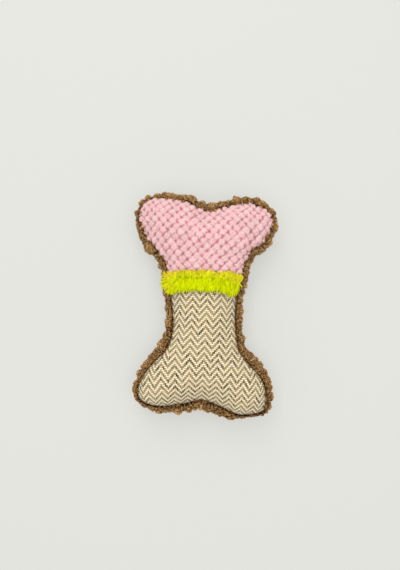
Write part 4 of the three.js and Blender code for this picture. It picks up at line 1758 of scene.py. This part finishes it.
@dataclass
class PileStrip:
    """The strip of long pile across the waist, parted along a line in its upper third.

    The hairs stand in small locks, which are wide at the root and come together at the tip.
    """

    cloth: FlatCloth
    pile: Material
    locks: int = 1480
    hairs: int = 13
    pieces: int = 4
    points: int = 5
    lock_radius: float = 0.95
    tip_share: float = 0.45
    length_down: Pair = (6.0, 8.2)
    length_up: Pair = (4.2, 6.2)
    end_length: float = 1.08
    thickness: float = 0.25
    parting: float = 30.4
    parting_dip: float = 4.0
    fan_near: float = math.radians(76.0)
    fan_far: float = math.radians(42.0)
    fan_reach: float = 27.0
    right_fan_share: float = 0.8
    corner_growth: float = 0.25
    roots: Pair = (20.0, 33.8)
    seam_room: float = 1.5
    arch: float = 2.2
    root_low: Pair = (-58.0, 8.0)
    root_span: Pair = (116.0, 34.0)
    probe: float = 0.8
    spacing: float = 1.0
    low: Pair = (-60.0, 0.0)
    high: Pair = (60.0, 44.0)
    ground_rise: float = 3.0
    lining: float = 0.8
    seed: int = 31

    def _from_parting(self, roots: Points) -> Points:
        """How far places lie above the parting, which dips at the strip's right end."""
        dip = self.parting_dip * smoothstep(roots[:, 0], 12.0, 32.0)
        return self.cloth.form.sizes.row(roots) - self.parting + dip

    def _backing(self) -> Piece:
        """Cuts the woven ground that the hairs stand in.

        Returns:
            The ground as a closed cloth.
        """
        rows = (self.cloth.form.sizes.strip_low, self.cloth.form.sizes.strip_high)
        sheet, _, values = self.cloth.sheet(self.spacing, self.low, self.high, rows)
        lift = self.ground_rise * smoothstep(values[:, INWARD], 0.0, 9.0)
        sheet.swell(lift)
        even = np.full(len(lift), 0.3)
        # The backing takes the roots' painted shade, lighter where it rises.
        marks = {"along": 0.07 * lift, "tint": even, "warm": even}
        backing = Workshop.from_bmesh("pile_backing", sheet.mesh, self.pile, marks)
        return Workshop.lined(backing, self.lining)

    def _rooted(self) -> tuple[Points, Points, Points, Points]:
        """Where the locks stand, evenly over the strip.

        Returns:
            Their roots, the outward directions there, how far inside the seam they are, and how
            much they belong to the flat hairs on the toy's steep side.
        """
        plastic = 1.324717957244746  # its powers spread places evenly over a square
        steps = np.arange(1, 6 * self.locks)[:, None] / np.array([plastic, plastic**2])
        flat = np.array(self.root_low) + (steps % 1.0) * np.array(self.root_span)
        found, values = self.cloth.look_up(flat)
        sides = [self.cloth.look_up(flat + shift) for shift in self.probe * np.eye(2)]
        place = values[:, :3]
        normals = np.cross(sides[0][1][:, :3] - place, sides[1][1][:, :3] - place)
        normals = unit(normals * np.sign(normals[:, 2:3] + 1e-9))
        row = self.cloth.form.sizes.row(place)
        low = self.roots[0] + self.arch * (1.0 - smoothstep(np.abs(place[:, 0]), 16.0, 30.0))
        rounded = 4.5 * smoothstep(np.abs(row - 28.0), 2.0, 7.0) - 0.5
        left = 4.0 - 4.0 * smoothstep(row, 28.0, 33.0)
        right = 12.5 - 5.0 * smoothstep(row, 24.0, 31.0)
        rounded += np.where(place[:, 0] > 0, right, left)
        inward = values[:, INWARD]
        keep = found & sides[0][0] & sides[1][0] & (inward > self.seam_room)
        keep &= (row > low) & (row < self.roots[1])
        chosen = np.nonzero(keep)[0][: self.locks]
        LOG.info("pile: %d of %d places", len(chosen), int(keep.sum()))
        beside = smoothstep(rounded - inward, 0.0, 1.0)
        return place[chosen], normals[chosen], inward[chosen], beside[chosen]

    def _lay(
        self, source: np.random.Generator, roots: Points, inward: Points
    ) -> tuple[Points, Points, Points]:
        """Which way the locks lie.

        Args:
            source: The chances.
            roots: The locks' roots.
            inward: How far inside the seam they are.

        Returns:
            For each lock its direction, 1 if it lies up and 0 if it lies down, and how much it
            belongs to an end of the strip.
        """
        rise = self._from_parting(roots)
        above = (rise + source.normal(0, 0.7, len(roots)) > 0.0).astype(float)
        near = 1.0 - smoothstep(np.abs(rise), 0.0, lerp(9.0, 4.5, above))
        end = smoothstep(self.fan_reach - inward, 0.0, self.fan_reach)
        turned = np.where(roots[:, 0] > 0, self.right_fan_share, -1.0)
        angle = turned * lerp(self.fan_far, self.fan_near, near) * end
        angle += 0.28 * np.sin(roots[:, 0] * 0.35 + 0.6) * (1 - end) - 0.1 * (1 - above)
        angle += source.normal(0, 0.17, len(roots))
        brush = np.cos(angle) * lerp(-1.0, 1.0, above)
        return np.stack([np.sin(angle), brush, 0 * brush], axis=1), above, end

    def _hairs(self) -> tuple[Points, Points, Marks]:
        """Lays the locks and their hairs.

        Returns:
            The hairs' lines, their radii and what the finish reads.
        """
        source = np.random.default_rng(self.seed)
        roots, out, inward, beside = self._rooted()
        count = len(roots)
        lay, above, end = self._lay(source, roots, inward)
        flat = (1.0 - 0.62 * end * (1.0 - beside)) * (lay * out).sum(axis=1)
        lay = unit(lay - out * flat[:, None])
        row = self._from_parting(roots)
        crossing = lerp(1.3, 2.2, smoothstep(roots[:, 0], -4.0, 12.0))
        crossing = crossing * (1.0 - smoothstep(np.abs(row), 0.5, 2.6))
        roots = roots - lay * crossing[:, None]
        aside = np.cross(out, lay)
        down = source.uniform(*self.length_down, count)
        up = source.uniform(*self.length_up, count)
        length = lerp(down, up, above) * lerp(1.0, self.end_length, end)
        length *= 1.0 + 0.16 * above * np.sin(roots[:, 0] * 0.31 + 1.2)
        length *= 1.0 + self.corner_growth * (1.0 - above) * smoothstep(roots[:, 0], 18.0, 30.0)
        length *= 1.0 - 0.25 * beside
        rise = source.uniform(1.5, 4.0, count) * (1.0 - 0.7 * beside)
        tint = source.uniform(0, 1, count)
        warm = lerp(0.3, 0.95, smoothstep(row, 0.0, 2.6))
        roots, out, lay, aside, length, rise, tint, above, end, beside, warm = (
            np.repeat(numbers, self.hairs, axis=0)
            for numbers in (roots, out, lay, aside, length, rise, tint, above, end, beside, warm)
        )
        count = len(roots)
        turn, off = source.uniform(0, 2 * math.pi, count), np.sqrt(source.uniform(0, 1, count))
        off = self.lock_radius * off
        shift = aside * (np.cos(turn) * off)[:, None] + lay * (np.sin(turn) * off)[:, None]
        length = length * source.uniform(0.7, 1.1, count)
        share = np.linspace(0, 1, self.points)[None, :, None]
        lines = (roots + out * (2.5 - 1.6 * beside)[:, None])[:, None, :]
        lines = lines + shift[:, None, :] * lerp(1.0, self.tip_share, share)
        lines = lines + (lay * length[:, None])[:, None, :] * (0.35 * share + 0.65 * share**1.4)
        bend = rise[:, None, None] * (1 - (1 - share) ** 2.0)
        bend = bend - (1.2 + 1.6 * end)[:, None, None] * share**2.4
        lines = lines + out[:, None, :] * (bend + (0.5 * off)[:, None, None] * share * (1 - share))
        lines = lines + source.normal(0, 0.16, (count, 1, 3)) * share**1.5
        taper = np.array([0.05, 1.0, 1.0, 0.75, 0.05])
        radii = np.outer(self.thickness * source.uniform(0.8, 1.25, count), taper)
        tint = np.clip(tint + source.uniform(-0.12, 0.12, count), 0, 1)
        # Painted shade on hairs that lie flat on the strip's steep right side; less painted root
        # shade at the left end.
        shade = 0.5 * beside * smoothstep(roots[:, 0], -10.0, 10.0)
        along = np.outer(1.0 - shade, np.linspace(0, 1, self.points))
        left = 0.3 * end * (1.0 - smoothstep(roots[:, 0], -26.0, -12.0))
        marks = {"along": np.minimum(along + left[:, None], 1.0)}
        for label, numbers in (("tint", tint), ("warm", np.clip(above * warm + 0.45 * end, 0, 1))):
            marks[label] = np.repeat(numbers[:, None], self.points, axis=1)
        return lines, radii, marks

    def build(self) -> list[Piece]:
        """Makes the backing and then the hairs in a few pieces.

        Returns:
            The pieces.
        """
        lines, radii, marks = self._hairs()
        made = [self._backing()]
        for index in range(self.pieces):
            part = slice(index, None, self.pieces)
            shown = {label: numbers[part] for label, numbers in marks.items()}
            name = f"pile_hairs_{index + 1}"
            made.append(Workshop.strands(name, lines[part], radii[part], self.pile, shown))
        return made


@dataclass
class SewnSeams:
    """The running stitches that hold the face and the back to the edging."""

    form: BoneForm
    material: Material
    pitch: float = 4.2
    points: int = 4
    reach: float = 0.36
    dip: float = 0.5
    thickness: float = 0.35

    def build(self) -> list[Piece]:
        """Sews a ring of stitches along each seam.

        Returns:
            The two rings.
        """
        sizes = self.form.sizes
        count = round(self.form.girth / self.pitch)
        share = np.linspace(-self.reach, self.reach, self.points)
        around = ((np.arange(count)[:, None] + share[None, :]) / count).ravel()
        dip = self.dip * np.tile(np.abs(share / self.reach) ** 3, count)
        edge, out = self.form.at(self.form.edge, around), self.form.at(self.form.out, around)
        rings = (("face", sizes.front_seam, 1.0, 3.6), ("back", sizes.back_seam, -1.0, 3.2))
        pieces = []
        for name, seam, up, away in rings:
            lines = np.column_stack([edge + out * away, seam + up * (1.0 - dip)])
            lines = lines.reshape(count, self.points, 3)
            radii = np.full((count, self.points), self.thickness)
            marks = {"painted_light": np.full(radii.shape, 0.6), "tint": np.full(radii.shape, 0.5)}
            label = f"{name}_seam_stitches"
            pieces.append(Workshop.strands(label, lines, radii, self.material, marks))
        return pieces


@dataclass
class FibreFill:
    """The loose fibre, one soft mass with a hollow for the squeaker."""

    node: Piece
    material: Material
    voxel: float = 2.2
    wisp: float = 5.0
    depth: float = 0.5

    def build(self) -> Piece:
        """Makes the fill from the form of its solid.

        Returns:
            The fill as a closed lumpy mass.
        """
        source = bmesh.new()
        source.from_mesh(self.node.data)
        bmesh.ops.remove_doubles(source, verts=source.verts[:], dist=0.001 * MM)
        fill = Workshop.from_bmesh("fibre_wadding", source, self.material)
        Workshop.remeshed(fill, self.voxel)
        mass = bmesh.new()
        mass.from_mesh(fill.data)
        Workshop.remove(fill)
        mass.normal_update()
        points = np.array([v.co[:] for v in mass.verts]) / MM
        normals = np.array([v.normal[:] for v in mass.verts])
        waves = wavy(points, self.wisp)
        share = 0.5 + 0.5 * waves
        moved = points - normals * (self.depth * (1.2 - share))[:, None]
        for vertex, point in zip(mass.verts, moved * MM):
            vertex.co = point
        # Painted light: painted shade where the fill sinks in, lighter on its lumps.
        marks = {"painted_light": np.clip(share, 0, 1), "tint": np.clip(0.5 + waves, 0, 1)}
        return Workshop.from_bmesh("fibre_wadding", mass, self.material, marks)


@dataclass
class Squeaker:
    """The squeaker's moulded bladder and the flanged holder that plugs into its neck."""

    bladder_finish: Material
    holder_finish: Material
    steps: int = 64
    radius: float = 22.95
    middle: float = 24.725
    height: float = 22.0
    wall: float = 1.0
    neck_top: float = 39.225
    neck_radius: float = 6.15
    neck_bore: float = 4.75
    plug_radii: tuple[float, float, float] = (3.4, 4.6, 6.6)
    plug_heights: tuple[float, float, float] = (29.375, 39.375, 40.575)
    shares: tuple[Pair, ...] = (
        (0.0, -1.0), (0.5, -1.0), (0.6, -0.84), (0.74, -0.8), (0.88, -0.55), (0.97, -0.26),
        (1.0, 0.0), (0.97, 0.26), (0.88, 0.55), (0.74, 0.8), (0.6, 0.84), (0.5, 1.0),
    )

    def _profile(self, inset: float) -> list[Pair]:
        """The bladder's rounded half section.

        Args:
            inset: How far inside the outer skin.

        Returns:
            Radius and height pairs, from the bottom's middle up.
        """
        knots = np.array(self.shares) * np.array([self.radius, self.height / 2])
        steps = np.linspace(0, 1, 4, endpoint=False)[:, None]
        runs = [lerp(start, end, steps) for start, end in zip(knots[:-1], knots[1:])]
        fine = np.vstack([*runs, knots[-1:]])
        for _ in range(2):
            fine[1:-1] = (fine[:-2] + 2 * fine[1:-1] + fine[2:]) / 4
        along = unit(np.gradient(fine, axis=0))
        moved = fine + np.stack([-along[:, 1], along[:, 0]], axis=1) * inset
        moved[:, 0] = np.maximum(moved[:, 0], 0.0)
        moved[0, 0] = 0.0
        return [(radius, height + self.middle) for radius, height in moved]

    def _spun(self, name: str, line: Sequence[Pair], finish: Material) -> Piece:
        """A profile turned about the squeaker's upright axis.

        Args:
            name: The piece's name.
            line: Radius and height pairs.
            finish: The piece's finish.

        Returns:
            The closed piece.
        """
        turned = bmesh.new()
        verts = [turned.verts.new((out * MM, 0.0, height * MM)) for out, height in line]
        edges = [turned.edges.new(pair) for pair in zip(verts, verts[1:])]
        bmesh.ops.spin(
            turned, geom=verts + edges, cent=(0, 0, 0), axis=(0, 0, 1), angle=2 * math.pi,
            steps=self.steps, use_merge=True, use_duplicate=False,
        )
        bmesh.ops.remove_doubles(turned, verts=turned.verts[:], dist=0.001 * MM)
        bmesh.ops.recalc_face_normals(turned, faces=turned.faces[:])
        return Workshop.from_bmesh(name, turned, finish)

    def bladder(self) -> Piece:
        """Spins the bladder with its folding steps and neck.

        Returns:
            The bladder.
        """
        roof, tip = self.middle + self.height / 2, self.neck_top
        outer, inner = self._profile(0.0), self._profile(self.wall)
        neck, bore = self.neck_radius, self.neck_bore
        line = [
            (neck + 0.9, roof), (neck + 0.25, roof + 0.35), (neck, roof + 1.0), (neck, tip - 0.3),
            (neck - 0.3, tip), (bore + 0.2, tip), (bore, tip - 0.2), (bore, roof - 1.4),
            (neck, roof - 1.4),
        ]
        line = [*outer, *line, *reversed(inner)]
        return self._spun("squeaker_balloon", line, self.bladder_finish)

    def holder(self) -> Piece:
        """Spins the flanged holder with its eased edges.

        Returns:
            The holder.
        """
        bore, tube, flange = self.plug_radii
        low, under, top = self.plug_heights
        line = [
            (bore, low + 0.2), (bore + 0.2, low), (tube - 0.35, low), (tube, low + 0.5),
            (tube, under), (flange - 0.15, under), (flange, under + 0.15), (flange, top - 0.35),
            (flange - 0.35, top), (bore + 0.25, top), (bore, top - 0.25), (bore, low + 0.2),
        ]
        return self._spun("squeaker_plug", line, self.holder_finish)


@dataclass
class Studio:
    """The pale floor, the soft lights and the camera over the toy."""

    floor_colour: Colour = paint(223, 223, 218)
    floor_seen: Colour = paint(226, 227, 222)
    backdrop: float = 0.6
    room_light: float = 0.51
    camera_height: float = 0.7
    camera_place: Pair = (-0.0038, 0.0229)
    view_angle: float = 35.0
    lean: float = 1.5
    frame_share: float = 570 / 400
    floor_half: float = 3.0
    floor_grain: float = 900.0
    sensor: float = 36.0
    clip: Pair = (0.01, 20.0)
    lamps: tuple[tuple[str, tuple[float, float, float], float, float], ...] = (
        ("top_light", (0.0, 0.02, 1.7), 1.6, 15.6),
        ("key_light", (-0.25, 1.05, 1.3), 0.9, 7.0),
    )

    def _floor(self) -> Piece:
        """Lays the pale floor, with a fine even grain.

        Returns:
            The floor.
        """
        ground = bmesh.new()
        bmesh.ops.create_grid(ground, x_segments=8, y_segments=8, size=self.floor_half)
        material, graph, shader = new_finish("pale_floor", {"Specular IOR Level": 0.2})
        grain = graph.noise(graph.place(), self.floor_grain)
        base = graph.toned(self.floor_colour, graph.range(grain, start=0.985, end=1.015))
        seen = graph.math("MULTIPLY", graph.looked_at(), self.backdrop)
        black = paint(0, 0, 0)
        given = {"Base Color": graph.mix(seen, base, black), "Emission Strength": 1.0}
        given["Emission Color"] = graph.mix(seen, black, self.floor_seen)
        given["Roughness"] = graph.range(grain, start=0.8, end=0.9)
        for name, value in given.items():
            graph.put(shader.inputs[name], value)
        return Workshop.from_bmesh("studio_floor", ground, material)

    @staticmethod
    def _lamp(name: str, place: Vector, size: float, power: float) -> None:
        """A square soft lamp that faces the toy.

        Args:
            name: The lamp's name.
            place: Where it hangs, in metres.
            size: Its side, in metres.
            power: Its power, in watts.
        """
        light = bpy.data.lights.new(name, "AREA")
        light.size = size
        light.energy = power
        lamp = bpy.data.objects.new(name, light)
        lamp.location = place
        lamp.rotation_euler = (Vector((0, 0, 0.03)) - place).to_track_quat("-Z", "Y").to_euler()
        bpy.context.scene.collection.objects.link(lamp)

    def build(self) -> Piece:
        """Sets up the lights, the camera and the floor.

        Returns:
            The floor.
        """
        scene = bpy.context.scene
        scene.view_settings.view_transform = "Standard"
        world = bpy.data.worlds.new("soft_room")
        world.use_nodes = True
        graph = Graph(world.node_tree)
        shown = graph.mix(graph.looked_at(), (*[self.room_light] * 3, 1.0), self.floor_seen)
        graph.put(world.node_tree.nodes["Background"].inputs["Color"], shown)
        scene.world = world
        for name, place, size, power in self.lamps:
            self._lamp(name, Vector(place), size, power)
        data = bpy.data.cameras.new("photo_camera")
        data.sensor_fit = "AUTO"
        data.sensor_width = self.sensor
        half = math.tan(math.radians(self.view_angle / 2)) * self.frame_share
        data.lens = data.sensor_width / 2 / half
        data.clip_start, data.clip_end = self.clip
        camera = bpy.data.objects.new("photo_camera", data)
        camera.location = (*self.camera_place, self.camera_height)
        camera.rotation_euler = (0.0, 0.0, math.radians(self.lean))
        scene.collection.objects.link(camera)
        scene.camera = camera
        return self._floor()


@dataclass
class BoneToy:
    """The whole toy, dressed and put on its bodies."""

    nodes: dict[str, Piece]
    sizes: BoneSizes = field(default_factory=BoneSizes)
    joint: str = "squeaker_squeeze"
    keep: float = 0.7985

    def _dress(
        self, pieces: Sequence[Piece], node: str,
        plan: EasedPlan | None = None,
    ) -> None:
        """Puts soft pieces on the stuffed cover in place of their solid.

        Args:
            pieces: The pieces.
            node: The solid that they stand for.
            plan: The moves that settle them, if they are sewn to the rim.
        """
        for piece in pieces:
            if plan is not None:
                plan.settle(piece)
            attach(piece, "stuffed_cover")
            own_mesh(piece)
            LOG.info("%s: %d faces", piece.name, len(piece.data.polygons))
        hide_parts(node)

    def build(self) -> None:
        """Builds every piece and puts it where it belongs."""
        finishes = Finishes()
        form = BoneForm(self.sizes)
        body = StuffedBody(form)
        face = FlatCloth(form, body, Side.FACE, distance=2.0)
        back = FlatCloth(form, body, Side.BACK, distance=2.3)
        fleece = CurlyFleece(finishes.fleece)
        plan = EasedPlan(form)
        bobbles = BobblePanel(face, finishes.bobble).build()
        self._dress([bobbles], "bobble_plush_panel", plan=plan)
        weave = HerringbonePanel(face, finishes.weave).build()
        self._dress([weave], "herringbone_panel", plan=plan)
        strip = PileStrip(face, finishes.pile).build()
        self._dress(strip, "long_pile_strip", plan=plan)
        edging = FleeceEdging(form, fleece).build()
        stitches = SewnSeams(form, finishes.thread).build()
        self._dress([*edging, *stitches], "fleece_edging", plan=plan)
        panel = BackPanel(back, fleece).build()
        self._dress(panel, "fleece_back_panel", plan=plan)
        fill = FibreFill(self.nodes["fibre_fill"], finishes.fill).build()
        self._dress([fill], "fibre_fill", plan=plan)
        self._squeaker(finishes)

    def _squeaker(self, finishes: Finishes) -> None:
        """Builds the squeaker's pieces and gives its solids their finishes.

        Args:
            finishes: The toy's finishes.
        """
        squeaker = Squeaker(finishes.bladder, finishes.holder)
        self._dress([squeaker.bladder()], "squeaker_bladder")
        holder = squeaker.holder()
        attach(holder, "reed_insert")
        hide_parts("squeaker_reed_holder")
        kept = {"squeaker_reed_bed": finishes.holder, "squeaker_reed_clamp": finishes.holder}
        kept["squeaker_reed"] = finishes.reed
        for name, finish in kept.items():
            mesh = self.nodes[name].data
            mesh.materials.clear()
            mesh.materials.append(finish)


def corners(box: tuple[Vector, Vector]) -> list[list[float]]:
    """A box's lowest and highest corners as plain lists."""
    return [[float(value) for value in corner] for corner in box]


def main() -> None:
    """Builds the dressed toy over its frame, and the studio round it."""
    logging.basicConfig(level=logging.INFO, format="%(message)s")
    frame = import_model()
    BoneToy(frame["nodes"]).build()
    Studio().build()


if __name__ == "__main__":
    main()
